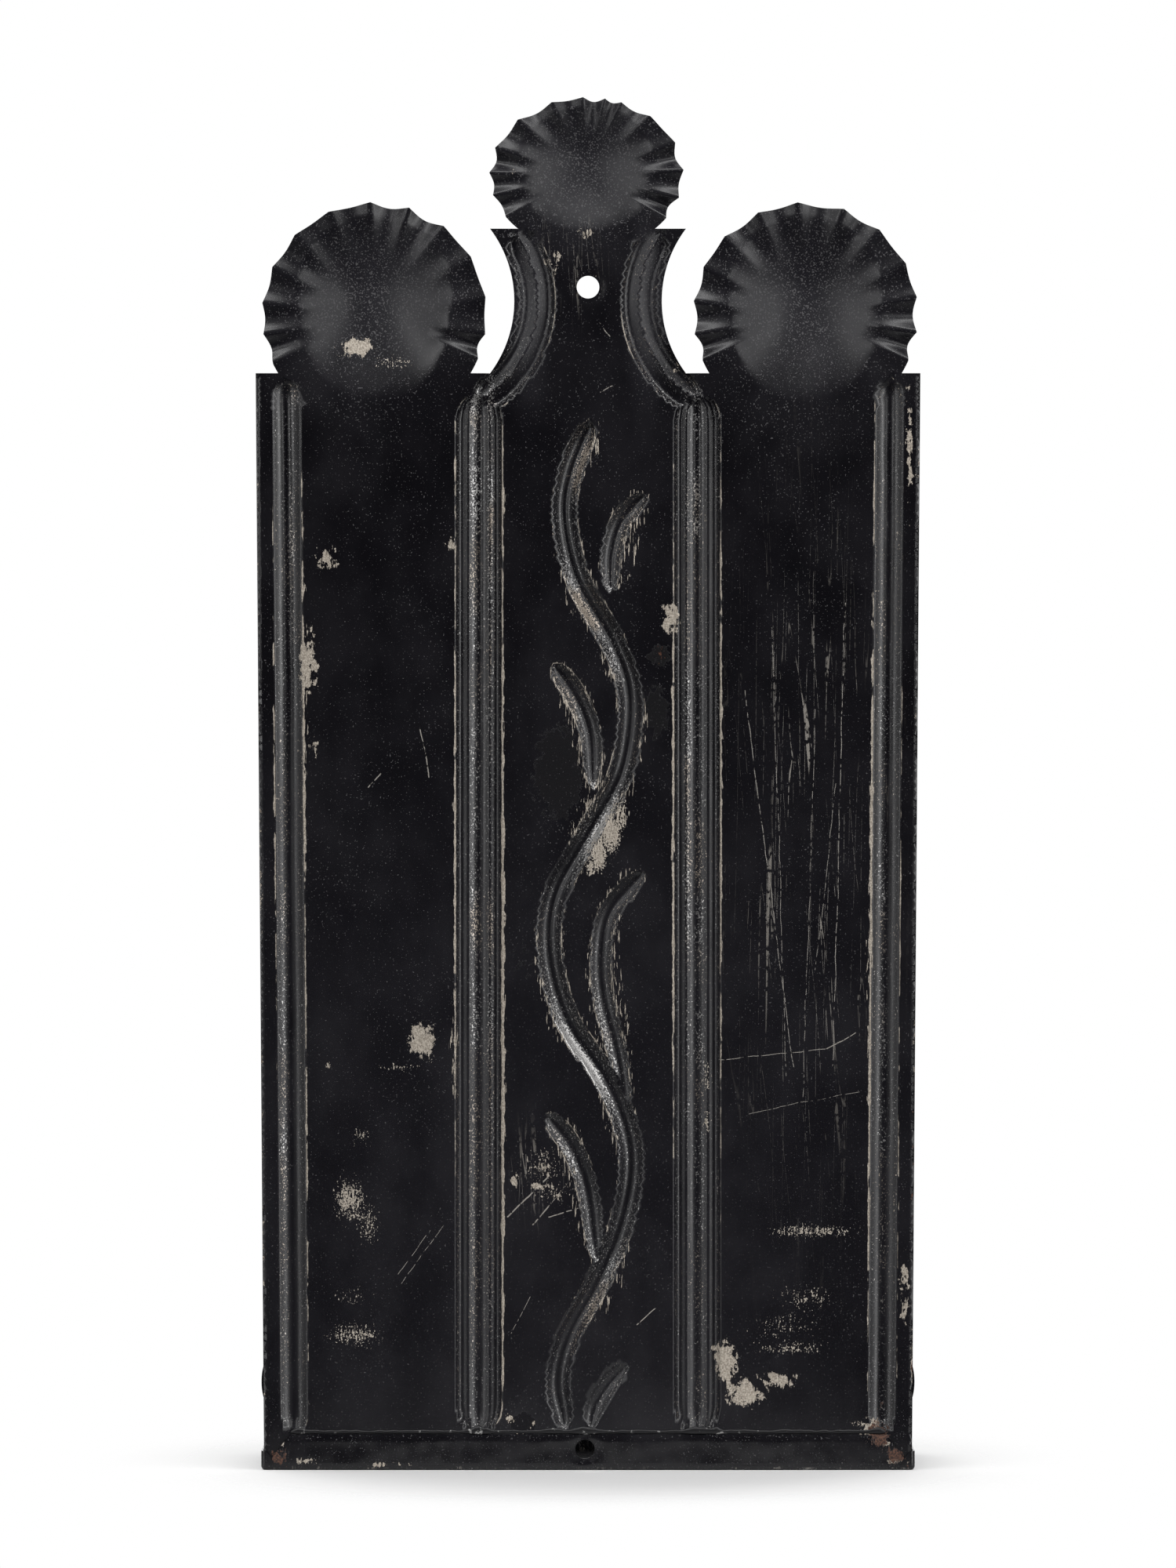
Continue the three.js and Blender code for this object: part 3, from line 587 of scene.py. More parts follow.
# %% Stem and leaves
field_half = 22.5
stem_groove = {"width": 6.6, "depth": 2.3}
leaf_groove = {"width": 5.7, "depth": 1.7}
curve_steps = 8
stem_shares = [
    (-0.02, 0.954), (0.2, 0.911), (0.27, 0.868), (0.11, 0.811), (-0.3, 0.753), (-0.49, 0.703),
    (-0.39, 0.638), (-0.01, 0.581), (0.38, 0.524), (0.44, 0.47), (0.23, 0.409), (-0.25, 0.351),
    (-0.5, 0.289), (-0.39, 0.225), (-0.09, 0.168), (0.21, 0.125), (0.35, 0.082), (0.26, 0.039),
]
leaf_shares = [
    [(-0.65, 0.889), (-0.39, 0.866), (-0.27, 0.836), (-0.26, 0.803)],
    [(0.38, 0.733), (0.14, 0.706), (-0.03, 0.671), (-0.06, 0.624)],
    [(-0.62, 0.544), (-0.25, 0.509), (-0.15, 0.47), (-0.19, 0.427), (-0.34, 0.38), (-0.45, 0.33)],
    [(0.45, 0.323), (0.18, 0.293), (0, 0.255), (-0.11, 0.19)],
    [(-0.43, 0.096), (-0.23, 0.078), (-0.09, 0.06), (-0.02, 0.039)],
]


def smooth_path(place_shares):
    """Curve through the places: cubics whose slope at each place is half the step from the place
    before to the place after."""
    places = np.array(place_shares) * (field_half, panel_top)
    before = np.vstack([2 * places[:1] - places[1:2], places[:-1]])
    after = np.vstack([places[1:], 2 * places[-1:] - places[-2:-1]])
    slope = (after - before) / 2
    t = np.linspace(0, 1, curve_steps, endpoint=False)[:, None, None]
    a, b, m, n = places[:-1], places[1:], slope[:-1], slope[1:]
    curve = (2 * t**3 - 3 * t**2 + 1) * a + (t**3 - 2 * t**2 + t) * m
    curve = curve + (3 * t**2 - 2 * t**3) * b + (t**3 - t**2) * n
    return np.vstack([curve.transpose(1, 0, 2).reshape(-1, 2), places[-1:]])


def path_length(path):
    """Length of a path."""
    return float(np.hypot(*np.diff(path, axis=0).T).sum())


stem_path = smooth_path(stem_shares)
leaf_paths = [smooth_path(shares) for shares in leaf_shares]
lengths = [round(path_length(path)) for path in [stem_path, *leaf_paths]]
print("length of the stem:", lengths[0], "and of the leaves:", lengths[1:])

# %% [markdown]
# The crimped crests
# Each crest is a round end of the sheet, beaten hollow and then crimped all round with pliers.
# The creases are listed in degrees from the top, because no two crimps are alike. Between two
# creases the sheet swells towards the candles, and the rim draws in a little.

# %% Crests
panel_crest = {"half": (29.3, 29.3), "dish": 5.0, "edge": panel_top}
panel_crest_height = panel_top + 15.2
crests = [
    {
        **panel_crest, "centre": (-56.6, panel_crest_height),
        "creases": [-114, -99, -81, -63, -41, -20, 4, 25, 46, 65, 83, 100, 114],
    },
    {
        **panel_crest, "centre": (55.6, panel_crest_height),
        "creases": [-113, -100, -81, -59, -38, -18, 2, 24, 45, 65, 84, 100, 116],
    },
    {
        "half": (25.3, 20.0), "dish": 4.0, "edge": neck_top, "centre": (0.4, neck_top + 14.2),
        "creases": [-125, -108, -87, -66, -41, -21, -11, 2, 21, 45, 70, 89, 106, 124],
    },
]
dish_share = 0.7
dish_lift = 0.19
dish_stretch = 0.24
dish_foot_turn = (100, 165)
dish_power = 1.4
crimp_start = 0.5
crimp_end = 1.05
crimp_power = 1.35
crimp_forward = 2.0
crimp_back = 0.7
crimp_heights = (0.4, 1.2)
crimp_steps = 9
scallop = 1.3
fade_turn = 13.0


def crest_polar(crest, x, z):
    """Share of the radius, and the angle from the top in degrees, of each place."""
    across = (x - crest["centre"][0]) / crest["half"][0]
    rise = (z - crest["centre"][1]) / crest["half"][1]
    return np.hypot(across, rise), np.degrees(np.arctan2(across, rise))


def crimp_swell(crest, turn):
    """0 on a crease and up to 1 midway to the next, as a half sine wave of its own height."""
    creases = np.array(crest["creases"], float)
    rng = np.random.default_rng(int(abs(crest["centre"][0]) * 10))
    heights = rng.uniform(*crimp_heights, len(creases) + 1)
    index = np.clip(np.searchsorted(creases, turn) - 1, 0, len(creases) - 2)
    run = np.clip((turn - creases[index]) / (creases[index + 1] - creases[index]), 0, 1)
    return np.sin(np.pi * run) * heights[index]


def free_turn(crest):
    """Angle from the top, in degrees, at which the rim of a crest runs into the plate."""
    drop = (crest["edge"] - crest["centre"][1]) / crest["half"][1]
    return 90 - math.degrees(math.asin(drop))


def crest_free(crest, turn):
    """1 where the crest stands clear of the plate, fading to 0 where it runs into it."""
    return smooth(0, fade_turn, free_turn(crest) - np.abs(turn))


def crest_depth(crest, x, z):
    """Depth of a crest: a dish that falls off as (1 - r^2) to the power 1.4 from a centre a
    little above the crest's own, and crimps that grow towards the rim."""
    share, turn = crest_polar(crest, x, z)
    from_dish, dish_turn = crest_polar(crest, x, z - dish_lift * crest["half"][1])
    reach = dish_share + dish_stretch * smooth(*dish_foot_turn, np.abs(dish_turn))
    dish = crest["dish"] * (1 - np.clip(from_dish / reach, 0, 1) ** 2) ** dish_power
    grow = np.clip((share - crimp_start) / (1 - crimp_start), 0, 1) ** crimp_power
    swell = crimp_swell(crest, turn) ** crimp_power
    crimp = crimp_forward * swell - crimp_back * (1 - swell)
    return dish + np.where(share < crimp_end, grow * crest_free(crest, turn) * crimp, 0)


def crest_outline(crest):
    """Rim of a crest, clockwise: the radius less the scallop, which is deepest midway between two
    creases."""
    last = free_turn(crest)
    creases = [-last, *crest["creases"], last]
    turns = [np.linspace(a, b, crimp_steps, endpoint=False) for a, b in zip(creases, creases[1:])]
    turn = np.append(np.concatenate(turns), last)
    draw = scallop / crest["half"][0] * crimp_swell(crest, turn) * crest_free(crest, turn)
    angle = np.radians(turn)
    across = crest["centre"][0] + crest["half"][0] * (1 - draw) * np.sin(angle)
    rise = crest["centre"][1] + crest["half"][1] * (1 - draw) * np.cos(angle)
    return np.stack([across, rise], 1)


print("crimps:", [len(crest["creases"]) - 1 for crest in crests])

# %% [markdown]
# All of the relief together
# Where two grooves meet, the deeper one wins, with a soft change between them. The whole plate
# also has a slow unevenness, and its long edges turn down into their hems. The same function
# tells how near each place is to a shoulder, because that is where paint has rubbed through.

# %% Relief of the whole plate
hole_radius = 5.9 / 2
hole_pucker = {"depth": 0.35, "reach": 1.6}
foot_hole = {"centre": (0.8, 5.4), "radius": 2.5}
slow_swell = {"seed": 3, "length": 42}
short_swell = {"seed": 8, "length": 13}
swell_depth = 0.09
short_share = 0.35
edge_turn = 1.1
edge_drop = 0.5 * edge_turn
stem_fade = {"top": 7.0, "foot": 4, "foot_share": 0.02}
leaf_fade = {"start": 6.0, "end_share": 0.45}
join_power = 6


def all_grooves():
    """Every groove as its path, its sizes and the length over which each end dies away."""
    grooves = [(path, sizes, None) for path, sizes in [*straight_ribs(), *neck_mouldings()]]
    foot = stem_fade["foot_share"] * path_length(stem_path) + stem_fade["foot"]
    grooves.append((stem_path, stem_groove, (stem_fade["top"], foot)))
    for path in leaf_paths:
        end = leaf_fade["end_share"] * path_length(path)
        grooves.append((path, leaf_groove, (leaf_fade["start"], end)))
    return grooves


def plate_relief(x, z):
    """Depth of the plate's back below its flat, and the distance from the nearest shoulder, below
    zero inside a groove. Crossing depths join as the sixth root of the sum of their sixth
    powers."""
    total = np.zeros(x.shape)
    shoulder = np.full(x.shape, far_away)
    for path, sizes, rounds in all_grooves():
        deep, near = groove(x, z, path, rounds=rounds, **sizes)
        total = total + deep**join_power
        shoulder = np.minimum(shoulder, near)
    depth = total ** (1 / join_power)
    for crest in crests:
        depth = depth + crest_depth(crest, x, z)
    depth = depth + swell_depth * unevenness(x, z, **slow_swell)
    depth = depth + short_share * swell_depth * unevenness(x, z, **short_swell)
    from_edge = half_width(z) - np.abs(x)
    turn = np.clip((edge_turn - from_edge) / edge_turn, 0, 1) * (z < panel_top)
    depth = depth + edge_drop * turn**2
    from_hole = np.hypot(x, z - hole_height) - hole_radius
    depth = depth + hole_pucker["depth"] * bell(from_hole, hole_pucker["reach"])
    return depth, shoulder


# %% [markdown]
# Filling the outline with triangles
# The blank has straight edges, hollow neck arcs and scalloped rims. Points are laid out where the
# form needs them: columns along the ribs, rings on the crests, and an even spread elsewhere. A
# Delaunay triangulation joins them inside the outline, and the two holes stay open.

# %% Points of the plate
neck_waist = 38.4
neck_arc_radius = 31.2
outline_step = 1.7
point_steps = {"row": 2.4, "edge": 0.4, "edge_rib": 0.5, "field_rib": 0.52, "panel": 1.85,
               "field": 1.02, "top": 0.98, "crest_ring": 0.95}
first_row = plate_foot + 1.2
band_top = panel_top - 9
edge_rib_band = edge_rib["width"] / 2 + 1.5
field_rib_band = field_rib["width"] / 2 + 1.4
edge_band = 1.6
band_gap = 0.7
field_half_band = field_rib_x - field_rib_band
crest_share = 1.03
crest_rim_gap = 0.6
rest_steps = 33
rim_gap = 0.35
hole_gap = 0.25
inner_ring = 0.25
middle_ring = 0.52


def along_line(start, end, step):
    """Evenly spaced points from one place up to, but not including, another."""
    start, end = np.array(start, float), np.array(end, float)
    count = max(int(round(np.hypot(*(end - start)) / step)), 1)
    return start + (end - start) * np.linspace(0, 1, count, endpoint=False)[:, None]


def neck_arc(side):
    """Hollow side of the neck, from the panels' top up to the neck's own top."""
    centre = (neck_waist / 2 + neck_arc_radius, neck_middle)
    reach = math.degrees(math.asin((neck_top - neck_middle) / neck_arc_radius))
    return arc_path(centre, neck_arc_radius, 180 + reach, 180 - reach, arc_steps) * (side, 1)


def plate_outline():
    """Outline of the blank, anticlockwise from its left foot as seen from the candle side, with
    evenly spaced points on its straight lines."""
    left, right, crown = (crest_outline(crest)[::-1] for crest in crests)
    foot, top = np.array([[half_foot, plate_foot]]), np.array([[half_top, panel_top]])
    mirror = (-1, 1)
    parts = [foot * mirror, foot, top, right, neck_arc(1), crown, neck_arc(-1)[::-1], left, top * mirror]
    runs = []
    for part, following in zip(parts, parts[1:] + parts[:1]):
        runs += [part, along_line(part[-1], following[0], outline_step)[1:]]
    return np.concatenate(runs)


def circle_points(centre, radius, steps):
    """Points of a round hole."""
    return np.array(centre) + radius * directions(np.linspace(0, 2 * np.pi, steps, endpoint=False))


def inside_of(outline, x, z):
    """Whether each place is inside an outline: whether a level line from it crosses the
    outline's edges an odd number of times."""
    ax, az = outline.T
    bx, bz = np.roll(outline, -1, 0).T
    odd = np.zeros(x.shape, bool)
    for x0, z0, x1, z1 in zip(ax, az, bx, bz):
        if z0 != z1:
            crosses = ((z0 > z) != (z1 > z)) & (x < (x1 - x0) * (z - z0) / (z1 - z0) + x0)
            odd ^= crosses
    return odd


def spread(low, high, step):
    """Places spread evenly over a rectangle in staggered rows."""
    rise = step * math.sqrt(0.75)
    rows = np.arange(low[1], high[1], rise)
    columns = np.arange(low[0], high[0], step)
    x, z = np.meshgrid(columns, rows)
    x = x + (np.arange(len(rows)) % 2)[:, None] * step / 2
    return x.ravel(), z.ravel()


def columns_of(centres, rows, half, step):
    """Places in columns on both sides of a line whose place across is given for each row."""
    offsets = np.linspace(-half, half, int(round(2 * half / step)) + 1)
    x = centres[:, None] + offsets
    return x.ravel(), np.broadcast_to(rows[:, None], x.shape).ravel()


def crest_places(crest):
    """Places on rings of a crest: one for each step of a crimp near the rim, and every second or
    fourth one further in."""
    creases = crest["creases"]
    turns = [np.linspace(a, b, crimp_steps, endpoint=False) for a, b in zip(creases, creases[1:])]
    turns.append(np.linspace(creases[-1], creases[0] + 360, rest_steps, endpoint=False))
    turn = np.radians(np.concatenate(turns))
    step = point_steps["crest_ring"]
    rings = np.arange(step, crest["half"][1] - crest_rim_gap, step) / crest["half"][1]
    places = []
    for ring, share in enumerate(rings):
        every = 4 if share < inner_ring else 2 if share < middle_ring else 1
        some = turn[ring % every :: every]
        around = np.stack([np.sin(some), np.cos(some)], 1)
        places.append(crest["centre"] + np.array(crest["half"]) * share * around)
    return np.concatenate(places).T


def inner_places(outline, holes, x, z, gap):
    """The places inside an outline that keep a gap from it and from its holes."""
    keep = inside_of(outline, x, z)
    x, z = x[keep], z[keep]
    keep = nearest_on(np.vstack([outline, outline[:1]]), x, z)[0] > gap
    for hole in holes:
        centre, radius = hole.mean(0), np.ptp(hole[:, 0]) / 2
        keep &= np.hypot(x - centre[0], z - centre[1]) > radius + hole_gap
    return np.stack([x[keep], z[keep]], 1)


def side_places(side):
    """Places on one side of the plate: columns along both ribs and the edge, and an even
    spread over the panel between the ribs."""
    rows = np.arange(first_row, band_top, point_steps["row"])
    edge_rib_line = side * (half_width(rows) - edge_rib_inset)
    field_rib_line = np.full(len(rows), side * field_rib_x)
    x, z = spread((0, plate_foot), (half_top, panel_top), point_steps["panel"])
    edge_x = half_width(z) - edge_rib_inset - edge_rib_band
    keep = (x > field_rib_x + field_rib_band + band_gap) & (x < edge_x - band_gap) & (z < band_top)
    return [
        columns_of(edge_rib_line, rows, edge_rib_band, point_steps["edge_rib"]),
        columns_of(field_rib_line, rows, field_rib_band, point_steps["field_rib"]),
        (side * x[keep], z[keep]),
        columns_of(side * half_width(rows), rows, edge_band, point_steps["edge"]),
    ]


def plate_places(outline, holes):
    """All inner points of the plate: each kind of spread in its own region."""
    plain = [*side_places(-1), *side_places(1)]
    plain.append(spread((-field_half_band, plate_foot), (field_half_band, band_top), point_steps["field"]))
    plain.append(spread((-half_top, band_top), (half_top, neck_top), point_steps["top"]))
    found = [crest_places(crest) for crest in crests]
    for x, z in plain:
        clear = np.all([crest_polar(crest, x, z)[0] >= crest_share for crest in crests], axis=0)
        found.append((x[clear], z[clear]))
    x, z = (np.concatenate(values) for values in zip(*found))
    return inner_places(outline, holes, x, z, rim_gap)


same_place = 1e-5


def filled(outline, holes, inner):
    """Triangles that join all points inside the outline and outside its holes, found by
    Delaunay triangulation with the outlines kept as edges."""
    loops = [outline, *holes]
    flat = np.vstack([*loops, inner])
    edges, start = [], 0
    for loop in loops:
        count = len(loop)
        edges += [(start + i, start + (i + 1) % count) for i in range(count)]
        start += count
    result = delaunay_2d_cdt([Vector(p) for p in flat.tolist()], edges, [], 1, same_place, False)
    triangles = np.array(result[2])
    assert len(result[0]) == len(flat), "two points of the plate lie on each other"
    centre = flat[triangles].mean(1)
    inside = inside_of(outline, *centre.T)
    for hole in holes:
        inside &= ~inside_of(hole, *centre.T)
    triangles = triangles[inside]
    a, b, c = flat[triangles].transpose(1, 0, 2)
    turn = (b - a)[:, 0] * (c - a)[:, 1] - (b - a)[:, 1] * (c - a)[:, 0]
    triangles[turn < 0] = triangles[turn < 0][:, ::-1]
    return flat, triangles, edges


# %% [markdown]
# From a flat fill to a pressed sheet
# The wall face takes its depth from the relief, and the candle face follows it one sheet further
# on, a little more where the sheet slants. Normals come from the slope of the relief itself, by
# small steps to the side, because they are smoother than those of the triangles.

# %% Pressed sheet
slope_step = 0.04
most_through = 1.6
hanging_hole_steps = 56
nail_hole_steps = 44


def pressed_sheet(outline, holes, inner, relief, back):
    """Closed sheet with its wall face at y = back less its relief. The candle face lies sheet
    times the root of 1 + slope^2 further on, up to a limit."""
    flat, triangles, edges = filled(outline, holes, inner)
    x, z = flat.T
    depth, shoulder = relief(x, z)
    slope_x = (relief(x + slope_step, z)[0] - relief(x - slope_step, z)[0]) / (2 * slope_step)
    slope_z = (relief(x, z + slope_step)[0] - relief(x, z - slope_step)[0]) / (2 * slope_step)
    through = sheet * np.minimum(np.sqrt(1 + slope_x**2 + slope_z**2), most_through)
    wall_face = np.stack([x, back - depth, z], 1)
    candle_face = np.stack([x, back - depth - through, z], 1)
    count = len(flat)
    rim = np.array([(b, a, a + count, b + count) for a, b in edges])
    faces = [*triangles[:, ::-1].tolist(), *(triangles + count).tolist(), *rim.tolist()]
    normals = unit(np.stack([slope_x, np.ones(count), slope_z], 1))
    points = np.concatenate([wall_face, candle_face])
    return {"part": (points, faces), "normals": normals, "shoulder": shoulder, "flat": flat,
            "triangles": triangles, "rim": rim, "depth": depth, "slopes": (slope_x, slope_z)}


def corner_normals(made):
    """One normal for each corner of each face: the slope's on both faces, and on the rim the
    outward direction of its own face."""
    points = made["part"][0]
    wall = made["normals"][made["triangles"][:, ::-1]].reshape(-1, 3)
    candle = -made["normals"][made["triangles"]].reshape(-1, 3)
    a, b, c = (points[made["rim"][:, i]] for i in range(3))
    rim = np.repeat(unit(np.cross(b - a, c - a)), 4, axis=0)
    return np.concatenate([wall, candle, rim])


holes = [circle_points((0, hole_height), hole_radius, hanging_hole_steps),
         circle_points(foot_hole["centre"], foot_hole["radius"], nail_hole_steps)]
outline = plate_outline()
places = plate_places(outline, holes)
plate = pressed_sheet(outline, holes, places, plate_relief, plate_back)
print("plate:", len(places), "points inside and", len(plate["triangles"]), "triangles")

# %% [markdown]
# Hems of the long edges
# The long edges are folded over once towards the candles. Each hem is a grid: its rows go up the
# edge, and its columns go from the folded leaf round the bend to the plate's edge.

# %% Hems
hem_width = 4.0
hem_rows = 120
hem_columns = 7
hem_bend_turn = 100
hem_radius = sheet * 0.62
hem_thickness = sheet * 0.9
hem_inset = 0.1
hem_lift = 0.12 * 0.35
hem_length = 31


def hem(side):
    """Folded edge on the candle side: a flat leaf that ends in an arc of a little more than half
    a sheet's radius."""
    heights = np.linspace(plate_foot, panel_top, hem_rows)
    bend = np.radians(np.linspace(0, hem_bend_turn, hem_columns))
    flat = np.linspace(hem_width, hem_radius, hem_columns)[:-1]
    inward = np.concatenate([flat, hem_radius * (1 - np.sin(bend))])
    forward = np.concatenate([np.full(len(flat), hem_radius), hem_radius * np.cos(bend)])
    lift = hem_lift * unevenness(heights, 0 * heights, 40 + side, hem_length)
    z, inset = np.meshgrid(heights, inward, indexing="ij")
    x = side * (half_width(z) - inset - hem_inset)
    y = plate_back - edge_drop - sheet / 2 - forward * (1 + lift[:, None])
    return sheet_from_grid(np.stack([x, y, z], -1), hem_thickness)


hems = [hem(-1), hem(1)]
print("hems of", [len(points) for points, _ in hems], "points")

# %% [markdown]
# Where the plate is worn, and its painted highlights
# The finish reads a few values at each point of the plate. Each is a field that is near 0 over
# sound paint and rises to 1 in the middle of a mark. The larger marks are named and given by the
# pixels where the photograph shows them, and noise in the material gives them their fine shapes.
# The bright rub on walls that face up, on listed spots of the stem and on bands along the ribs is
# partly a painted highlight.

# %% Marks on the plate
pixel = 0.204
middle_pixel = (750, 1875)
spot_power = 1.3


def marks_at(x, z, marks):
    """Field of several oval marks, each given in pixels by its centre, its half sizes and its
    strength. With r the share of its half sizes, each is e to the power of -r^2.6 times its
    strength, and the strongest counts."""
    field = np.zeros(x.shape)
    for cx, cy, across, rise, strength in marks.values():
        dx = (middle_pixel[0] - cx) * pixel - x
        dz = (middle_pixel[1] - cy) * pixel - z
        reach = (dx / (across * pixel)) ** 2 + (dz / (rise * pixel)) ** 2
        field = np.maximum(field, strength * np.exp(-(reach**spot_power)))
    return field


chip_marks = {
    "left_crest": (456, 443, 27, 12, 1), "upper_left_panel": (416, 712, 16, 17, 0.85),
    "beside_left_rib": (393, 845, 15, 42, 0.95), "lower_beside_left_rib": (401, 955, 8, 20, 0.7),
    "left_of_inner_rib": (576, 692, 8, 13, 0.75), "fish_shape": (538, 1328, 17, 23, 1.1),
    "left_panel_dot": (420, 1358, 8, 8, 0.7), "middle_high": (856, 790, 15, 22, 0.95),
    "lower_middle_high": (690, 1490, 10, 12, 0.72), "lower_middle_stroke": (692, 1513, 20, 5, 0.78),
    "lower_middle_foot": (712, 1525, 11, 5, 0.78), "lower_middle_dot": (657, 1506, 7, 9, 0.9),
    "corner_shape_side": (925, 1735, 17, 30, 1), "corner_shape_foot": (950, 1778, 26, 18, 1.05),
    "corner_shape_arm": (995, 1758, 26, 13, 0.8), "right_edge_high": (1160, 570, 5, 80, 0.8),
    "right_edge_low": (1153, 1650, 7, 56, 0.7), "right_corner": (1112, 1822, 22, 17, 0.85),
    "foot_left_dot": (674, 1790, 5, 5, 0.7), "burnt_rim_left": (652, 1808, 8, 12, 0.5),
    "burnt_rim_right": (680, 1812, 7, 14, 0.5), "burnt_rim_low": (668, 1828, 12, 6, 0.45),
    "neck_left_hook": (703, 330, 16, 26, 0.5), "neck_high_hook": (748, 296, 16, 10, 0.6),
    "crown_left": (654, 218, 16, 7, 0.45), "rib_top_right": (862, 470, 12, 9, 0.6),
}
scuff_marks = {
    "crest_dots": (500, 462, 30, 12, 0.5), "tail_of_fish": (505, 1362, 32, 5, 0.62),
    "left_dots_high": (462, 1450, 13, 15, 0.5), "left_patch_high": (446, 1530, 22, 32, 0.72),
    "left_patch_low": (470, 1562, 15, 32, 0.58), "left_dots": (448, 1655, 30, 14, 0.42),
    "left_low_scrape": (452, 1702, 38, 17, 0.62), "lower_middle": (694, 1488, 34, 30, 0.44),
    "lower_middle_low": (704, 1520, 30, 18, 0.46), "stem_fork_high": (792, 1042, 8, 30, 0.75),
    "stem_fork": (780, 1064, 13, 27, 1), "stem_fork_low": (764, 1090, 12, 24, 1),
    "stem_fork_tip": (753, 1108, 6, 12, 0.9), "right_scrape": (1034, 1570, 64, 9, 0.66),
    "lower_right_high": (1028, 1655, 46, 20, 0.46), "lower_right_band": (1010, 1720, 56, 9, 0.56),
    "lower_right_dots": (1000, 1690, 54, 22, 0.4), "right_rib_fleck": (902, 1372, 8, 18, 0.55),
    "right_rib_fleck_low": (902, 1432, 8, 20, 0.55),
}
scratch_marks = {
    "right_panel": (1030, 1080, 76, 340, 0.8), "lower_middle": (688, 1500, 40, 50, 0.6),
    "neck": (725, 330, 40, 60, 0.4),
}
rust_marks = {
    "left_corner": (354, 1858, 16, 13, 0.62), "right_corner": (1120, 1826, 20, 20, 0.85),
    "right_corner_low": (1140, 1856, 20, 12, 0.75), "right_corner_trail": (1122, 1788, 12, 24, 0.5),
    "brown_stain": (845, 832, 20, 20, 0.4), "right_edge": (1166, 1560, 6, 240, 0.55),
    "left_edge": (333, 1350, 5, 420, 0.4),
}
residue_marks = {
    "burnt_spot": (668, 1816, 22, 20, 1), "stain": (843, 836, 22, 18, 0.8),
    "left_of_stem": (712, 985, 38, 72, 1), "right_of_stem": (838, 908, 24, 42, 0.8),
    "left_low": (668, 1230, 30, 40, 0.5),
}
dust_marks = {
    "left_crest": (480, 370, 150, 115, 1), "right_crest": (1028, 370, 150, 115, 1),
    "crown": (748, 205, 130, 100, 1), "left_neck_edge": (672, 380, 26, 110, 0.7),
    "right_neck_edge": (828, 380, 26, 110, 0.7), "panel_top_left": (470, 505, 110, 40, 0.3),
    "panel_top_right": (1010, 520, 110, 70, 0.3),
}
line_marks = {
    "outer_left_outer": (350, 980, 8, 360, 0.7), "outer_left_inner": (388, 900, 9, 300, 1.3),
    "outer_left_inner_low": (388, 1400, 9, 430, 0.9), "inner_left_outer_high": (587, 620, 9, 110, 1.5),
    "inner_left_outer": (582, 1100, 9, 330, 1.2), "inner_left_inner": (641, 1300, 9, 520, 2),
    "inner_left_inner_high": (645, 640, 9, 120, 1.2), "inner_right_inner": (860, 1080, 9, 370, 1.4),
    "inner_right_outer": (918, 1000, 9, 430, 1.2), "outer_right_inner": (1112, 1240, 10, 480, 1.6),
    "outer_right_inner_high": (1112, 640, 9, 170, 0.7), "outer_right_outer": (1143, 1100, 8, 620, 0.7),
    "neck_left": (700, 400, 12, 120, 0.5), "neck_right": (800, 400, 12, 120, 0.5),
    "stem": (750, 900, 60, 400, 0.35), "stem_low": (740, 1400, 60, 300, 0.35),
}
# A lighter grey laid over the lower half, the middle, the crests, the crown and the edges of the neck
lighter_grey_marks = {
    "lower_half": (750, 1480, 640, 560, 0.66), "middle": (760, 1000, 120, 420, 0.35),
    "left_crest": (478, 370, 170, 125, 0.6), "right_crest": (1028, 370, 170, 125, 0.6),
    "crown": (748, 205, 150, 110, 0.7), "left_neck": (676, 390, 22, 130, 0.9),
    "right_neck": (824, 390, 22, 130, 0.9),
}
wear_marks = {
    "outer_left_inner": (392, 860, 12, 150, 0.9), "inner_left_outer": (578, 1330, 10, 60, 1.2),
    "outer_right_inner": (1108, 1240, 12, 110, 1), "stem_high_right": (765, 590, 16, 60, 1.5),
    "stem_left_high": (706, 690, 10, 50, 0.6), "stem_left_slope": (732, 765, 32, 66, 1.3),
    "leaf_one_right": (808, 695, 32, 66, 2.2), "stem_left_mid": (775, 850, 26, 54, 1),
    "leaf_two_left": (724, 920, 30, 84, 1.6), "stem_right_mid": (818, 935, 14, 44, 1.1),
    "stem_under": (772, 1050, 42, 66, 3), "stem_left_low": (690, 1220, 16, 66, 1.1),
    "stem_left_lower": (704, 1300, 22, 56, 1.3), "stem_right_low": (716, 1200, 9, 54, 0.9),
    "leaf_three_left": (754, 1240, 12, 100, 1), "leaf_three_right": (788, 1290, 28, 160, 1.4),
    "stem_low_left": (775, 1440, 24, 36, 1.1), "leaf_four_left": (727, 1510, 30, 100, 1.5),
    "stem_lowest_right": (782, 1640, 26, 76, 1.8), "leaf_four_right": (752, 1570, 10, 46, 0.9),
}
# Bands of rub along the ribs, partly wear and partly painted highlight on their walls
rib_rub_and_highlight_marks = {
    "left_rib_wide_high": (606, 640, 7, 260, 1), "left_rib_wide": (606, 1150, 7, 620, 0.62),
    "left_rib_narrow_high": (626, 700, 4, 300, 1), "left_rib_narrow": (626, 1300, 4, 560, 0.6),
    "right_rib_line": (877, 980, 4, 420, 0.8), "right_rib_wide": (892, 1300, 6, 520, 0.5),
    "right_rib_wide_high": (888, 620, 6, 160, 0.6), "left_edge_rib": (362, 1250, 5, 520, 0.55),
    "left_edge_rib_high": (372, 640, 4, 200, 0.8), "right_edge_rib": (1126, 1250, 5, 560, 0.5),
}
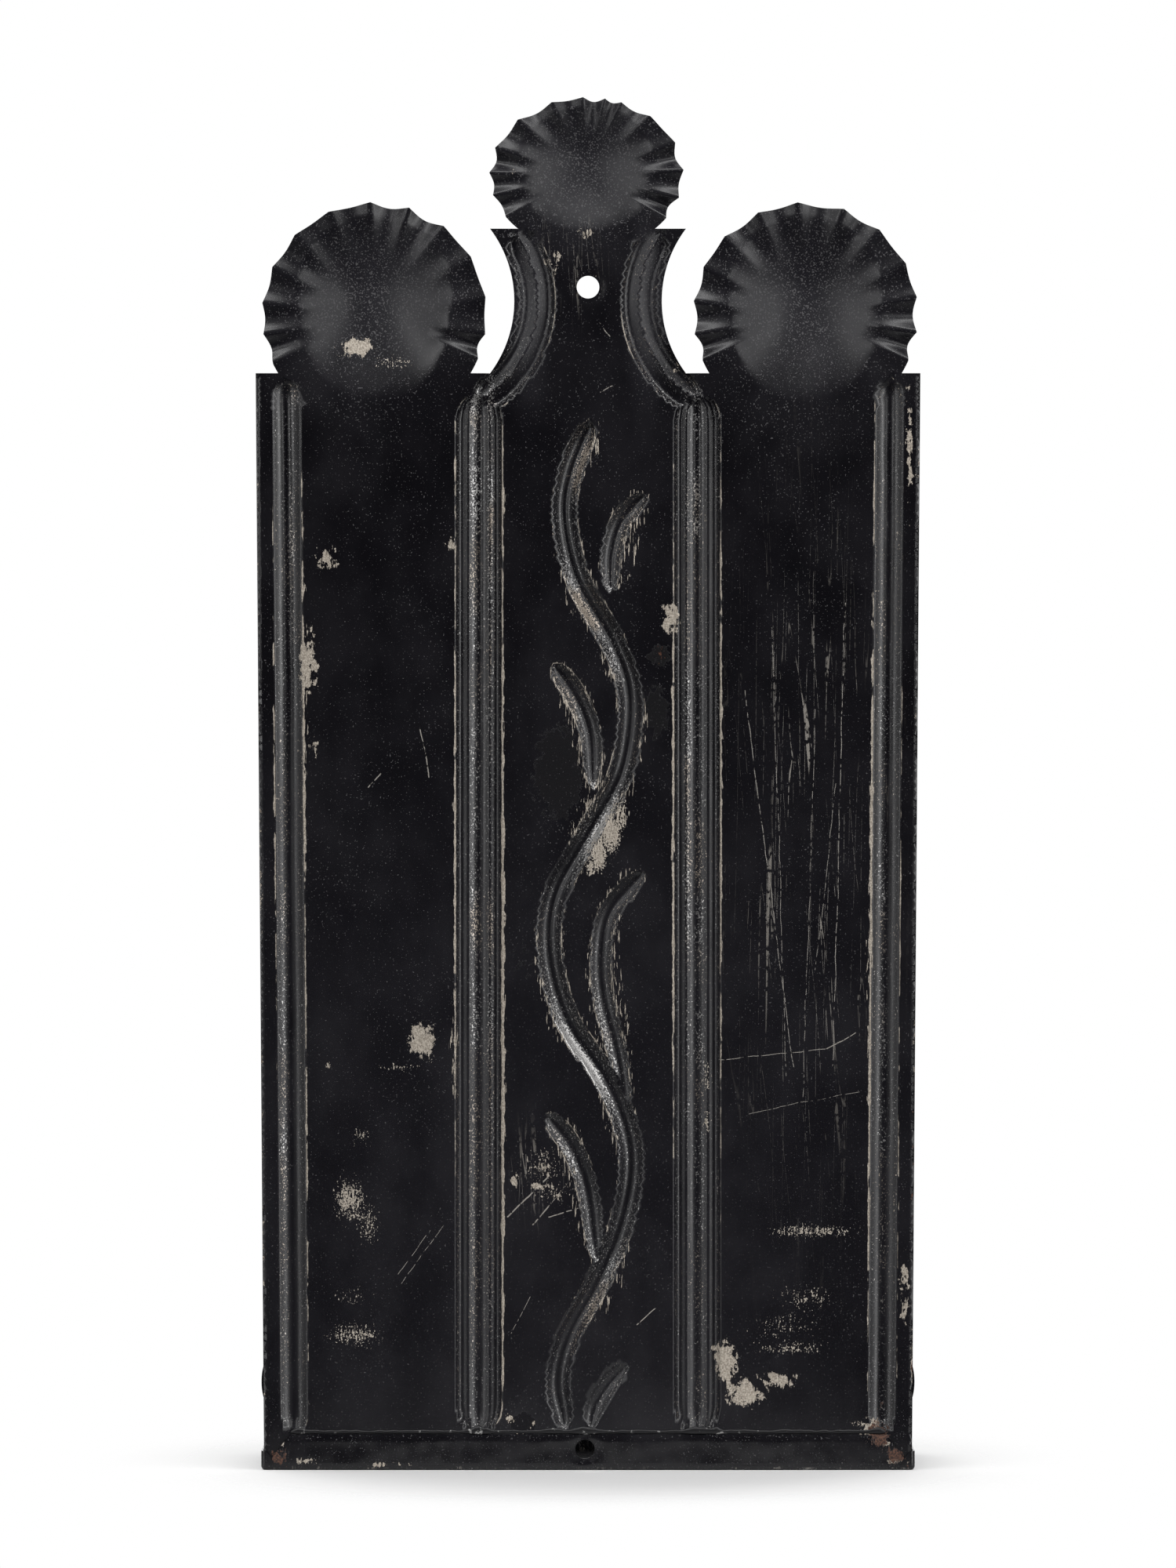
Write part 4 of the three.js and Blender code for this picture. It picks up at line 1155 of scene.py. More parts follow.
# Painted highlights: spots on the stem and leaves where the walls get extra bright rub, most where they
# face up
painted_highlight_marks = {
    "stem_top": (742, 600, 22, 66, 1), "stem_upper_slope": (740, 775, 40, 76, 0.9),
    "stem_upper_turn": (786, 850, 16, 54, 0.7), "stem_crossing": (762, 1050, 38, 60, 1),
    "stem_lower_turn": (698, 1200, 12, 80, 0.5), "stem_lower_slope": (742, 1340, 60, 110, 1.1),
    "stem_low_turn": (802, 1450, 14, 60, 0.7), "stem_lowest_slope": (765, 1610, 36, 100, 0.6),
    "leaf_two": (735, 900, 20, 60, 0.5), "leaf_four": (728, 1480, 22, 80, 0.6),
    "leaf_one": (800, 680, 22, 60, 0.25),
}
plate_spots = {
    "flake": chip_marks, "scuff": scuff_marks, "wear": wear_marks, "line": line_marks,
    "scratched": scratch_marks, "rusted": rust_marks, "residue": residue_marks,
    "dusty": dust_marks, "lighter_grey": lighter_grey_marks,
}
ragged_swell = {"seed": 27, "length": 34}
rib_swell = {"seed": 41, "length": 26}
# shares of rub for slope, for facing up, for the painted highlight marks by slope and by facing up, and
# for the rib bands; all but the first paint highlights
rub_shares = (0.04, 0.06, 0.06, 0.46, 0.17)
steepest = 1.2
most_upward = 0.9
edge_line_width = 0.5
halo_width = 1.3
edge_span = (-4, 6)
wall_span = (-0.5, 0.1)


def burnish_and_highlight(x, z, shoulder, slopes):
    """Fine rub on the walls of the grooves, partly wear and partly painted highlight: it grows with their
    slope, most of all on walls that face up, where it paints the highlight of light from above, and on its
    own marks of painted highlight. Along the ribs it comes and goes."""
    steep = np.clip(np.hypot(*slopes), 0, steepest)
    upward = np.clip(slopes[1], 0, most_upward)
    painted_highlight = marks_at(x, z, painted_highlight_marks)
    ribs = marks_at(x, z, rib_rub_and_highlight_marks) * (0.85 + 0.35 * unevenness(x, z, **rib_swell))
    parts = (steep, upward, painted_highlight * steep, painted_highlight * upward, ribs)
    rub = sum(share * part for share, part in zip(rub_shares, parts))
    return (1 - smooth(*wall_span, shoulder)) * rub


def plate_marks(x, z, shoulder, slopes):
    """Every field that the plate's finish reads, at each point of one face."""
    fields = {name: marks_at(x, z, spots) for name, spots in plate_spots.items()}
    edge_line = bell(half_width(z) - np.abs(x), edge_line_width) * (z < panel_top)
    halo = bell(np.hypot(x, z - hole_height) - hole_radius, halo_width)
    ragged = 0.5 + 0.5 * unevenness(x, z, **ragged_swell)
    fields["flake"] = np.maximum(fields["flake"], (0.62 * edge_line + 0.5 * halo) * ragged)
    fields["rusted"] = np.maximum(fields["rusted"], 0.5 * edge_line * ragged)
    fields["rub"] = 0.5 * edge_line
    fields["edge"] = np.clip(shoulder, *edge_span)
    fields["burnish_and_highlight"] = burnish_and_highlight(x, z, shoulder, slopes)
    return fields


wall_marks = plate_marks(*plate["flat"].T, plate["shoulder"], plate["slopes"])
print("marks:", {name: round(float(field.mean()), 3) for name, field in wall_marks.items()})

# %% [markdown]
# The back plate as one piece
# The pressed sheet and its two hems are joined in one mesh. The candle face has its own
# marks: it was handled and dusted, so it is less scarred than the back, and its wear lies on
# the crests of the relief, not on its shoulders.

# %% Back plate
proud_span = (1.5, 2.2)
crest_span = (-8, 2)
candle_side_share = 0.3
plate_sharp_angle = 55


def candle_side_marks():
    """Marks of the candle face: rubbed where the relief stands proud, whole where the back is
    flaked, and otherwise a share of the back's marks."""
    on_crest = smooth(*crest_span, plate["flat"][:, 1] - panel_top)
    proud = smooth(*proud_span, plate["depth"]) * (1 - 0.75 * on_crest)
    marks = {name: candle_side_share * field for name, field in wall_marks.items()}
    for name in ("flake", "scuff", "wear", "line"):
        marks[name] = 0 * proud
    return {**marks, "rub": 0.55 * proud, "burnish_and_highlight": 0.12 * proud}


def back_plate_piece():
    """Pressed sheet with its hems, its marks and the normals of its relief."""
    part = joined(plate["part"], *hems)
    hem_marks = np.zeros(sum(len(points) for points, _ in hems))
    candle = candle_side_marks()
    marks = {name: np.concatenate([field, candle[name], hem_marks]) for name, field in wall_marks.items()}
    piece = make_piece("pressed_back_plate", "back_plate", part, marks, plate_sharp_angle)
    mesh = piece.data
    loops = np.zeros(len(mesh.loops) * 3, np.float32)
    mesh.corner_normals.foreach_get("vector", loops)
    loops = loops.reshape(-1, 3)
    exact = corner_normals(plate)
    loops[: len(exact)] = exact
    mesh.normals_split_custom_set(loops.tolist())
    return piece


back_plate = back_plate_piece()

# %% [markdown]
# The tray pan and its rear flange
# The pan is one sheet with a flat floor, a small bend and a low lip: a grid whose rows go round
# the plan and whose columns go from the floor up the lip. The flange that is lapped up behind the
# plate is a pressed sheet like the plate, with its slanting ends and nail hole.

# %% Tray pan
pan_lip = 5.0
pan_bend = 1.1
rear_corner = 1.3
least_corner = 0.2
front_corner = 7 + sheet / 2 + seat_gap + sheet
flange_height = 9.2
mitre_inset = 6.0
pan_half = pan_high[0]
rear_face = pan_high[1]
front_face = pan_low[1]
pan_side_step = 3.0
pan_corner_steps = 13
floor_insets = (9, 4, 1.5)
bend_steps = 7
lip_steps = 5
cut_lip_margin = 2.4
cut_lip_share = 0.03


def pan_plan(inset):
    """Plan of the pan drawn in by an inset: four corner arcs with points on the straight sides
    between them. An arc shrinks with the inset down to the least corner, and from there its
    centre moves inwards."""
    centres, arcs = [], []
    for turn, (side, end) in enumerate(((1, 1), (-1, 1), (-1, -1), (1, -1))):
        radius, face = (rear_corner, rear_face) if end > 0 else (front_corner, front_face)
        centres.append(np.array([side * (pan_half - radius), face - end * radius]))
        inwards = max(inset - radius + least_corner, 0)
        centre = centres[-1] - np.array([side, end]) * inwards
        drawn = max(radius - inset, least_corner)
        arcs.append(arc_path(centre, drawn, 90 * turn, 90 * turn + 90, pan_corner_steps))
    places = []
    for index, arc in enumerate(arcs):
        following = (index + 1) % len(arcs)
        steps = max(round(math.dist(centres[index], centres[following]) / pan_side_step), 1)
        share = np.linspace(0, 1, steps + 1)[1:-1, None]
        places += [arc, arc[-1] + (arcs[following][0] - arc[-1]) * share]
    return np.concatenate(places)


def tray_pan_shell():
    """Floor, bend and lip. Behind the plate the lip is cut down to the bend, because the flange
    is in its place."""
    bend_middle = pan_bend - sheet / 2
    turn = np.radians(np.linspace(-90, 0, bend_steps))
    inset = [pan_bend + more for more in floor_insets]
    height = [sheet / 2] * len(inset)
    inset += [*(pan_bend - bend_middle * np.cos(turn)), *[sheet / 2] * (lip_steps - 1)]
    height += [*(pan_bend + bend_middle * np.sin(turn)), *np.linspace(pan_bend, pan_lip, lip_steps)[1:]]
    plans = [pan_plan(value) for value in inset]
    x, y = plans[-1].T
    behind = (y > rear_face - 1) & (np.abs(x) < pan_half - cut_lip_margin)
    columns = []
    for plan, z in zip(plans, height):
        cut = pan_bend + cut_lip_share * (z - pan_bend)
        rise = np.where(behind & (z > pan_bend), cut, z)
        columns.append(np.column_stack([plan, rise]))
    return sheet_from_grid(np.stack(columns, 1), sheet, wrap_rows=True, capped=True)


def mitre_at(z):
    """Half length of the flange at a height: a slanting cut from the corner of the pan."""
    share = (z - pan_bend) / (flange_height - pan_bend)
    return pan_half - rear_corner - mitre_inset * share


flange_dents = {"seed": 14, "length": 19}
flange_ripples = {"seed": 15, "length": 6}
flange_lean = {"depth": 0.3, "height": 1.3}
nail_pucker = {"depth": 0.3, "reach": 1.1}


def flange_relief(x, z):
    """Depth of the flange: it rounds under with the bend of the pan, leans on the solder at its
    top, and has small dents. The second value is far from any shoulder."""
    under = np.clip(pan_bend - z, 0, pan_bend * 0.98)
    bend = pan_bend - np.sqrt(pan_bend**2 - under**2)
    dents = 0.07 * unevenness(x, 2 * z, **flange_dents) + 0.04 * unevenness(x, z, **flange_ripples)
    top = flange_lean["depth"] * smooth(flange_height - flange_lean["height"], flange_height, z)
    centre = foot_hole["centre"]
    from_hole = np.hypot(x - centre[0], z - centre[1]) - foot_hole["radius"]
    pucker = nail_pucker["depth"] * bell(from_hole, nail_pucker["reach"])
    return bend + dents + top + pucker, np.full(x.shape, far_away)


flange_foot = 0.12
flange_low = 0.5
flange_outline_step = 0.9
flange_step = 0.85
flange_rim_gap = 0.3
flange_hole_more = 0.2
flange_proud = 0.03


def rear_flange():
    """Lapped edge of the pan behind the plate, with its nail hole."""
    foot, top = mitre_at(flange_foot), mitre_at(flange_height)
    corners = [(-foot, flange_foot), (foot, flange_foot), (top, flange_height), (-top, flange_height)]
    sides = zip(corners, corners[1:] + corners[:1])
    outline = np.concatenate([along_line(a, b, flange_outline_step) for a, b in sides])
    hole_size = foot_hole["radius"] + flange_hole_more
    hole = circle_points(foot_hole["centre"], hole_size, nail_hole_steps)
    x, z = spread((-pan_half, flange_low), (pan_half, flange_height), flange_step)
    inner = inner_places(outline, [hole], x, z, flange_rim_gap)
    return pressed_sheet(outline, [hole], inner, flange_relief, rear_face + flange_proud)


flange = rear_flange()
pan_shell = tray_pan_shell()


tray_chips = {
    "left": (386, 1863, 18, 5, 0.75), "left_mitre": (356, 1842, 9, 5, 0.6),
    "foot": (500, 1868, 60, 4, 0.5), "right": (1140, 1862, 22, 6, 0.7),
    "right_mitre": (1132, 1840, 10, 6, 0.6),
}
corner_reach = 9
corner_rust = {"height": 3, "reach": 8}
foot_swell = {"seed": 31, "length": 24}
foot_rub_height = 0.9
lip_rub_height = 0.5
floor_span = (0.2, 0.8)


def tray_marks(points):
    """Marks on the tray: rust and chips at its lower corners, and dust on level faces."""
    x, y, z = points.T
    corner = bell(np.abs(x) - pan_half, corner_reach) * bell(y - rear_face, corner_reach)
    rust = corner * bell(z - corner_rust["height"], corner_rust["reach"])
    foot = bell(z, foot_rub_height) * (0.5 + 0.5 * unevenness(x, y, **foot_swell))
    behind = y > rear_face - 2
    inside = (z < floor_span[1]) * (z > floor_span[0])
    return {
        "rub": np.clip(0.55 * foot + 0.35 * bell(z - pan_lip, lip_rub_height), 0, 1),
        "rusted": np.clip(0.15 * rust + marks_at(x, z, rust_marks) * behind + 0.25 * foot, 0, 1),
        "flake": marks_at(x, z, tray_chips) * behind,
        "dusty": 0.35 * inside + 0.12,
        "scratched": 0.45 * inside,
    }


pan_part = joined(flange["part"], pan_shell)
tray_pan = make_piece("lapped_tray_pan", "tray_pan", pan_part, tray_marks(pan_part[0]))

# %% [markdown]
# The tray wall and the wire in its rim
# The wall is a strip bent round the two sides and the front. Its section is straight at the foot,
# swells in a low bead, and rolls inwards over an iron wire. It is carried round the tray as a
# grid, and the wire is a round bar along the same path.

# %% Tray wall and wire
wall_corner = 7.0
rim_wire = 2.0
bead_height = 8.9
bead_rise = 0.7
wall_top = wall_high[2]
wall_foot = wall_low[2]
curl_radius = rim_wire / 2 + seat_gap + sheet / 2
curl_height = wall_top - curl_radius - sheet / 2
wall_half = wall_high[0] - bead_rise - sheet / 2
wall_rear = wall_high[1]
wall_front = wall_low[1] + bead_rise + sheet / 2


wall_step = 3
front_step = 4
corner_steps = 15
straight_steps = 9
bead_steps = 17
bead_power = 0.8
curl_steps = 25
curl_turn = 275
wire_steps = 14
sag_depth = 0.16
sag_swell = {"seed": 51, "length": 55}
calm_length = 8


def wall_path():
    """Places and outward directions round the tray, from the plate on one side, round the
    front, and back to the plate on the other side."""
    straights = [
        ((wall_half, wall_rear), (wall_half, wall_front + wall_corner), wall_step, 0),
        ((wall_half - wall_corner, wall_front), (wall_corner - wall_half, wall_front), front_step, -90),
    ]
    places, aims = [], []
    for start, end, step, turn in straights:
        aim = directions(np.radians(np.linspace(turn, turn - 90, corner_steps)))
        line = along_line(start, end, step)
        corner = np.array(end) - aim[0] * wall_corner
        places += [line, corner + aim * wall_corner]
        aims += [np.repeat(aim[:1], len(line), 0), aim]
    last_end = (-wall_half, wall_rear)
    last = np.vstack([along_line(places[-1][-1], last_end, wall_step)[1:], [last_end]])
    return np.concatenate([*places, last]), np.concatenate([*aims, np.repeat(aims[-1][-1:], len(last), 0)])


def wall_section():
    """Section of the wall as distance outwards and height: a straight foot, a bead like a
    flattened circle, and three quarters of a circle round the wire."""
    straight = np.linspace(wall_foot, curl_height - bead_height, straight_steps)[:-1]
    share = np.linspace(-1, 1, bead_steps)
    turn = np.radians(np.linspace(0, curl_turn, curl_steps)[1:])
    bead = bead_rise * (1 - share**2) ** bead_power
    out = [np.zeros(len(straight)), bead, curl_radius * (np.cos(turn) - 1)]
    bead_at = curl_height - bead_height / 2 + share * bead_height / 2
    rise = [straight, bead_at, curl_height + curl_radius * np.sin(turn)]
    return np.concatenate(out), np.concatenate(rise)


path_places, path_aims = wall_path()
sag = sag_depth * unevenness(*path_places.T, **sag_swell)
sag = sag * smooth(0, calm_length, wall_rear - path_places[:, 1])


def carried(out, rise):
    """A section carried round the tray: each point of it moves out along the path's outward
    direction and up. The free rim wanders by the sag."""
    offset = out + sag[:, None] * np.clip(rise / wall_top, 0, 1) ** 2
    flat = path_places[:, None, :] + path_aims[:, None, :] * offset[..., None]
    height = np.broadcast_to(rise, offset.shape)
    return np.concatenate([flat, height[..., None]], -1)


wall_part = sheet_from_grid(carried(*wall_section()), sheet)
wire_section = circle_points((-curl_radius, curl_height), rim_wire / 2, wire_steps)
wire_part = bar_from_rings(carried(*wire_section.T))
rim_depth = 1.2
bead_reach = 1.3
wall_rust_height = 2.2
wall_swell = {"seed": 61, "length": 38}


def wall_marks_at(points):
    """Marks on the wall: rubbed rim and bead, rust by its foot, dust everywhere."""
    x, y, z = points.T
    patchy = 0.5 + 0.5 * unevenness(x, y, **wall_swell)
    rim = smooth(wall_top - rim_depth, wall_top, z)
    bead = bell(z - curl_height + bead_height / 2, bead_reach)
    return {
        "rub": np.clip((0.75 * rim + 0.35 * bead) * patchy, 0, 1),
        "rusted": 0.35 * bell(z, wall_rust_height) * patchy,
        "dusty": 0.15,
        "scratched": 0.3,
    }


marks = wall_marks_at(wall_part[0])
tray_wall = make_piece("beaded_tray_wall", "tray_wall", wall_part, marks)
rim_wire_piece = make_piece("rim_wire", "tray_rim_wire", wire_part)

# %% [markdown]
# The candle sockets
# A socket is a strip rolled into a tube, lapped at its seam, with its top edge rolled out into a
# lip. Its foot is snipped into eight tabs that are turned out flat and soldered to the tray. The
# tube is a section turned round its axis, and each tab is a small curved grid.

# %% Sockets
socket_bore = 22.2
socket_lip = 1.8
socket_foot = 4.2
foot_bend = 1.0
seam_width = 5.0
tab_count = 8
snip_width = 2.4
middle_radius = (socket_bore + sheet) / 2
tube_steps = 12
lip_turn = (180, -70)
lip_roll_steps = 16
round_steps = 96
oval_depth = 0.14
three_sided_depth = 0.06
foot_steps = 7
tab_steps = 5
tab_columns = 9
seam_rows = 9
seam_columns = 11
seam_foot_gap = 0.8
seam_top_gap = 0.5
seam_proud = sheet * 0.98
seam_edge = 0.72
seam_sink = 0.55 * sheet
lip_radius = (socket_lip - sheet) / 2
tube_foot = sheet / 2 + foot_bend


def turned_grid(radii, heights, turns):
    """A section of radii and heights turned to each angle."""
    flat = radii[None, :, None] * directions(turns)[:, None, :]
    height = np.broadcast_to(heights[None, :, None], (len(turns), len(heights), 1))
    return np.concatenate([flat, height], -1)


def socket_tube(top, seed):
    """Tube with a lip rolled out at its top, a little out of round towards the top by two
    sine waves round its girth."""
    lip_height = top - lip_radius - sheet / 2
    straight = np.linspace(tube_foot, lip_height, tube_steps)
    roll = np.radians(np.linspace(*lip_turn, lip_roll_steps)[1:])
    radii = [np.full(len(straight), middle_radius), middle_radius + lip_radius * (1 + np.cos(roll))]
    heights = [straight, lip_height + lip_radius * np.sin(roll)]
    turns = np.linspace(0, 2 * np.pi, round_steps, endpoint=False)
    tube = turned_grid(np.concatenate(radii), np.concatenate(heights), turns)
    waves = oval_depth * np.sin(2 * turns + seed) + three_sided_depth * np.sin(3 * turns + 2 * seed)
    rise = np.clip(tube[..., 2] / top, 0, 1) ** 1.5
    tube[..., :2] *= 1 + (waves[:, None] * rise / middle_radius)[..., None]
    return sheet_from_grid(tube, sheet, wrap_rows=True)


def socket_tabs():
    """Tabs of the foot: a quarter bend outwards and a flat end, cut apart by snips."""
    bend = np.radians(np.linspace(180, 270, foot_steps))
    end = np.linspace(middle_radius + foot_bend, middle_radius + socket_foot, tab_steps)[1:]
    radii = np.concatenate([middle_radius + foot_bend * (1 + np.cos(bend)), end])
    heights = np.concatenate([tube_foot + foot_bend * np.sin(bend), np.full(len(end), sheet / 2)])
    half = math.pi / tab_count - snip_width / (2 * (middle_radius + socket_foot / 2))
    tabs = []
    for tab in range(tab_count):
        turns = 2 * math.pi * tab / tab_count + np.linspace(-half, half, tab_columns)
        tabs.append(sheet_from_grid(turned_grid(radii, heights, turns), sheet))
    return tabs


def socket_lap(top):
    """Second layer of the lapped seam on the outside of the tube, with one edge sunk to it."""
    half = seam_width / (2 * middle_radius)
    turns = math.pi / 2 + np.linspace(-half, half, seam_columns)
    lip_height = top - lip_radius - sheet / 2
    heights = np.linspace(tube_foot + seam_foot_gap, lip_height - seam_top_gap, seam_rows)
    lap = turned_grid(np.full(seam_rows, middle_radius + seam_proud), heights, turns)
    edge = smooth(seam_edge, 1.0, np.linspace(-1, 1, seam_columns))
    lap[..., :2] *= (1 - seam_sink * edge / middle_radius)[:, None, None]
    return sheet_from_grid(lap, sheet)


lip_rub = (1.6, 0.4)
socket_dust_height = 2
socket_rust_height = 1.5


def socket_marks(points, top):
    """Marks on a socket: a rubbed lip, a little rub all over, and dust in the foot."""
    x, y, z = points.T
    patchy = 0.5 + 0.5 * np.sin(3 * np.arctan2(y, x) + 0.4 * z)
    return {
        "rub": np.clip(0.9 * smooth(top - lip_rub[0], top - lip_rub[1], z) * patchy + 0.08, 0, 1),
        "dusty": 0.15 + 0.3 * bell(z, socket_dust_height),
        "scratched": 0.35,
        "rusted": 0.25 * bell(z, socket_rust_height),
    }


solder_steps = 120
solder_reach = 2.2
solder_waves = (2, 5, 9, 14)
solder_wave_depth = 0.16
solder_lift = sheet * 1.02
solder_sharp_angle = 60
solder_out = np.array([0, 0.55, 1.0, 0.52, 0.2, 0.06, 0])
solder_rise = np.array([0, 0, 0.04, 0.3, 0.6, 0.95, 1.1])


def wandering(turns, waves, depth, seed):
    """Size of a run of solder on its way: 1 and a few sine waves of random phase."""
    rng = np.random.default_rng(seed)
    return 1 + sum(depth * np.sin(wave * turns + rng.uniform(0, 6)) for wave in waves)


def solder_ring(seed):
    """Fillet of solder round a socket's foot: a ring whose section is a hollow triangle that
    swells and shrinks on its way round."""
    turns = np.linspace(0, 2 * np.pi, solder_steps, endpoint=False)
    size = solder_reach * wandering(turns, solder_waves, solder_wave_depth, seed)[:, None]
    radius = middle_radius + sheet / 2 + 0.1 + solder_out * size
    flat = radius[..., None] * directions(turns)[:, None, :]
    height = solder_lift + solder_rise * size
    return bar_from_rings(np.concatenate([flat, height[..., None]], -1), wrap=True)


socket_pieces, solder_pieces = [], []
for hand, seed in (("left", 1), ("right", 2)):
    low, high = box_mm(f"candle_socket_{hand}")
    top = high[2] - low[2]
    base = np.array([(low[0] + high[0]) / 2, (wall_rear + wall_front) / 2, low[2]])
    points, faces = joined(socket_tube(top, seed), *socket_tabs(), socket_lap(top))
    part, marks = (points + base, faces), socket_marks(points, top)
    name, node = f"rolled_socket_{hand}", f"candle_socket_{hand}"
    socket_pieces.append(make_piece(name, node, part, marks))
    points, faces = solder_ring(70 + seed)
    part, name, node = (points + base, faces), f"foot_solder_{hand}", f"socket_solder_{hand}"
    solder_pieces.append(make_piece(name, node, part, sharp_angle=solder_sharp_angle))

# %% [markdown]
# The rest of the solder
# Upright fillets close the corners between wall and plate, and an uneven seam runs along the top
# of the rear flange, with a blob where each rib ends on it. Each is a section carried along a
# line, with a size that wanders as molten metal does.

# %% Solder in corners
fillet_steps = 60
fillet_waves = (1, 3, 7, 13)
fillet_wave_depth = 0.13
fillet_wave_length = 9
fillet_end = 2.0
fillet_across = np.array([0, 0, 0.12, 0.3, 0.6, 1.0])
fillet_deep = np.array([0, 1.0, 0.55, 0.3, 0.12, 0])


def corner_fillet(hand, side):
    """Upright fillet in the corner of wall and plate: a hollow triangle carried upwards, whose
    size wanders and shrinks to its two ends."""
    low, high = box_mm(f"corner_solder_{hand}")
    z = np.linspace(low[2], high[2], fillet_steps)
    size = wandering(z / fillet_wave_length, fillet_waves, fillet_wave_depth, 90 + side)
    size *= 0.35 + 0.65 * end_share(np.minimum(z - low[2], high[2] - z), fillet_end)
    size = size[:, None] * (high[0] - low[0])
    x = (high[0] if side > 0 else low[0]) - side * fillet_across * size
    y = high[1] - fillet_deep * size
    return bar_from_rings(np.stack([x, y, np.broadcast_to(z[:, None], x.shape)], -1))


for hand, side in (("left", -1), ("right", 1)):
    name, node = f"corner_fillet_{hand}", f"corner_solder_{hand}"
    part = corner_fillet(hand, side)
    solder_pieces.append(make_piece(name, node, part, sharp_angle=solder_sharp_angle))

# %% Solder behind
edge_rib_foot_x = half_width(rib_foot) - edge_rib_inset
seam_blobs = {
    "left_edge_rib": (-edge_rib_foot_x, 0.6, 2.4), "left_field_rib": (-field_rib_x, 0.7, 2.8),
    "beside_field_rib": (-33.5, 0.5, 2), "stem": (0.5, 0.6, 4),
    "beside_stem": (9.0, 0.4, 2), "right_field_rib": (field_rib_x, 0.8, 2.2),
    "right_edge_rib": (edge_rib_foot_x, 0.6, 2.4),
}
seam_spots = {
    "streak": (920, 1832, 26, 8, 0.3), "blob": (612, 1828, 9, 8, 0.25),
    "left": (384, 1829, 6, 6, 0.15), "middle": (742, 1830, 20, 6, 0.15),
}
seam_steps = 420
mound_steps = 13
seam_end = {"round_length": 3.0, "least": 0.1}
seam_slow_swell = {"seed": 33, "length": 14}
seam_short_swell = {"seed": 34, "length": 4}
blob_swell = {"seed": 35, "length": 2.5}
seam_forward = 0.23
seam_lift = 0.25


def rear_seam():
    """Solder along the top of the rear flange: a low mound whose size is a base value with slow
    swells and a bell at the foot of each rib."""
    low, high = box_mm("rear_solder_seam")
    x = np.linspace(low[0], high[0], seam_steps)
    slow, short = (unevenness(x, 0 * x, **swell) for swell in (seam_slow_swell, seam_short_swell))
    size = 0.62 + 0.1 * slow + 0.08 * short
    rough = 1 + 0.15 * unevenness(x, 0 * x, **blob_swell)
    for centre, swell, half in seam_blobs.values():
        size = size + swell * bell(x - centre, half) * rough
    size = (size * end_share(np.minimum(x - x[0], x[-1] - x), **seam_end))[:, None]
    turn = np.radians(np.linspace(0, 180, mound_steps))
    proud = np.sin(turn) ** 0.8
    y = plate_back - seam_forward + 0.62 * proud * (0.55 + 0.45 * size)
    z = low[2] + seam_lift + (0.35 - 0.85 * np.cos(turn)) * size
    return bar_from_rings(np.stack([np.broadcast_to(x[:, None], y.shape), y, z], -1))


seam_part = rear_seam()
seam_x, _, seam_z = seam_part[0].T
bare = {"rub": marks_at(seam_x, seam_z, seam_spots)}
seam_piece = make_piece("rear_seam", "rear_solder_seam", seam_part, bare, solder_sharp_angle)
solder_pieces.append(seam_piece)

# %% [markdown]
# Old black japanning
# Japanning is a baked varnish: thin, hard, glossy and nearly black. It flakes off in small
# comb-like teeth that show matt tin, rubs through on edges to a grey speckle, and is scratched in
# hairlines. On the plate a brighter speckle of the rub is also laid on groove walls that face up,
# as a painted highlight. Dust and rust lie on top. Masks mix these layers, and each mask is a mark
# on the mesh broken up by noise that is long up and down the plate, as its grain is.

# %% Parts of the japanning
black = (0.0028, 0.0025, 0.0038, 1)
worn_black = (0.0056, 0.0050, 0.0072, 1)
haze_grey = (0.0128, 0.0120, 0.0165, 1)
dust_grey = (0.070, 0.068, 0.072, 1)
tin_light = (0.60, 0.54, 0.46, 1)
tin_dark = (0.30, 0.26, 0.215, 1)
rub_grey = (0.55, 0.54, 0.53, 1)
rub_brown = (0.50, 0.43, 0.36, 1)
rust_light = (0.13, 0.062, 0.040, 1)
rust_dark = (0.026, 0.014, 0.012, 1)
residue_black = (0.0075, 0.0072, 0.0078, 1)
scratch_tin = (0.40, 0.37, 0.33, 1)

# lengths in millimetres, detail, roughness, distortion and turn of each noise
grains = {
    "clouds": ((16, 16, 22), 3, 0.55, 0, 0), "fine": ((0.42, 0.42, 0.5), 2, 0.6, 0, 0),
    "combed": ((0.5, 0.5, 1.8), 3, 0.6, 0.4, 0), "coarse": ((2.2, 2.2, 2.6), 5, 0.66, 0, 0),
    "speck": ((0.42, 0.42, 0.42), 1, 0.5, 0, 0), "peel": ((2.6, 2.6, 2.6), 2, 0.5, 0, 0),
    "teeth": ((0.42, 0.42, 3.8), 2, 0.5, 0, 0), "patches": ((2.5, 2.5, 5), 3, 0.6, 0, 0),
    "gaps": ((2.4, 2.4, 8), 3, 0.6, 0, 0), "wander": ((6, 6, 9), 2, 0.5, 0, 0),
    "scratch_groups": ((3, 3, 26), 2, 0.5, 0, 0), "scratch_breaks": ((1.2, 1.2, 1.6), 2, 0.6, 0, 0),
    "upright_lines": ((2.2, 40, 140), 1, 0.45, 0, 0.02),
    "leaning_lines": ((3.6, 40, 90), 1, 0.45, 0, -0.08), "metal": ((0.4, 0.4, 0.4), 2, 0.6, 0, 0),
    "solder_lumps": ((2.5, 2.5, 2.5), 4, 0.6, 0, 0), "iron_lumps": ((3, 3, 3), 4, 0.6, 0, 0),
}
# value from which each mask begins to show, and value from which it is whole
spans = {
    "trace": (0.03, 0.15), "teeth": (0.54, 0.66), "patches": (0.4, 0.65), "outside": (0.1, -0.06),
    "inside": (-0.1, 0.1), "kept": (0.55, 0.6), "reach": (0.03, 0.12), "groups": (0.46, 0.54),
    "breaks": (0.4, 0.52), "cloudy": (0.3, 0.75), "brown": (0.46, 0.6), "bright": (0.64, 0.78),
    "burnish_and_highlight": (0.005, 0.03), "specks": (0.67, 0.76), "stray": (0.73, 0.77), "tin": (0.35, 0.7),
    "rust": (0.35, 0.65), "upright_lines": (0.008, 0.0024), "leaning_lines": (0.006, 0.0018),
}
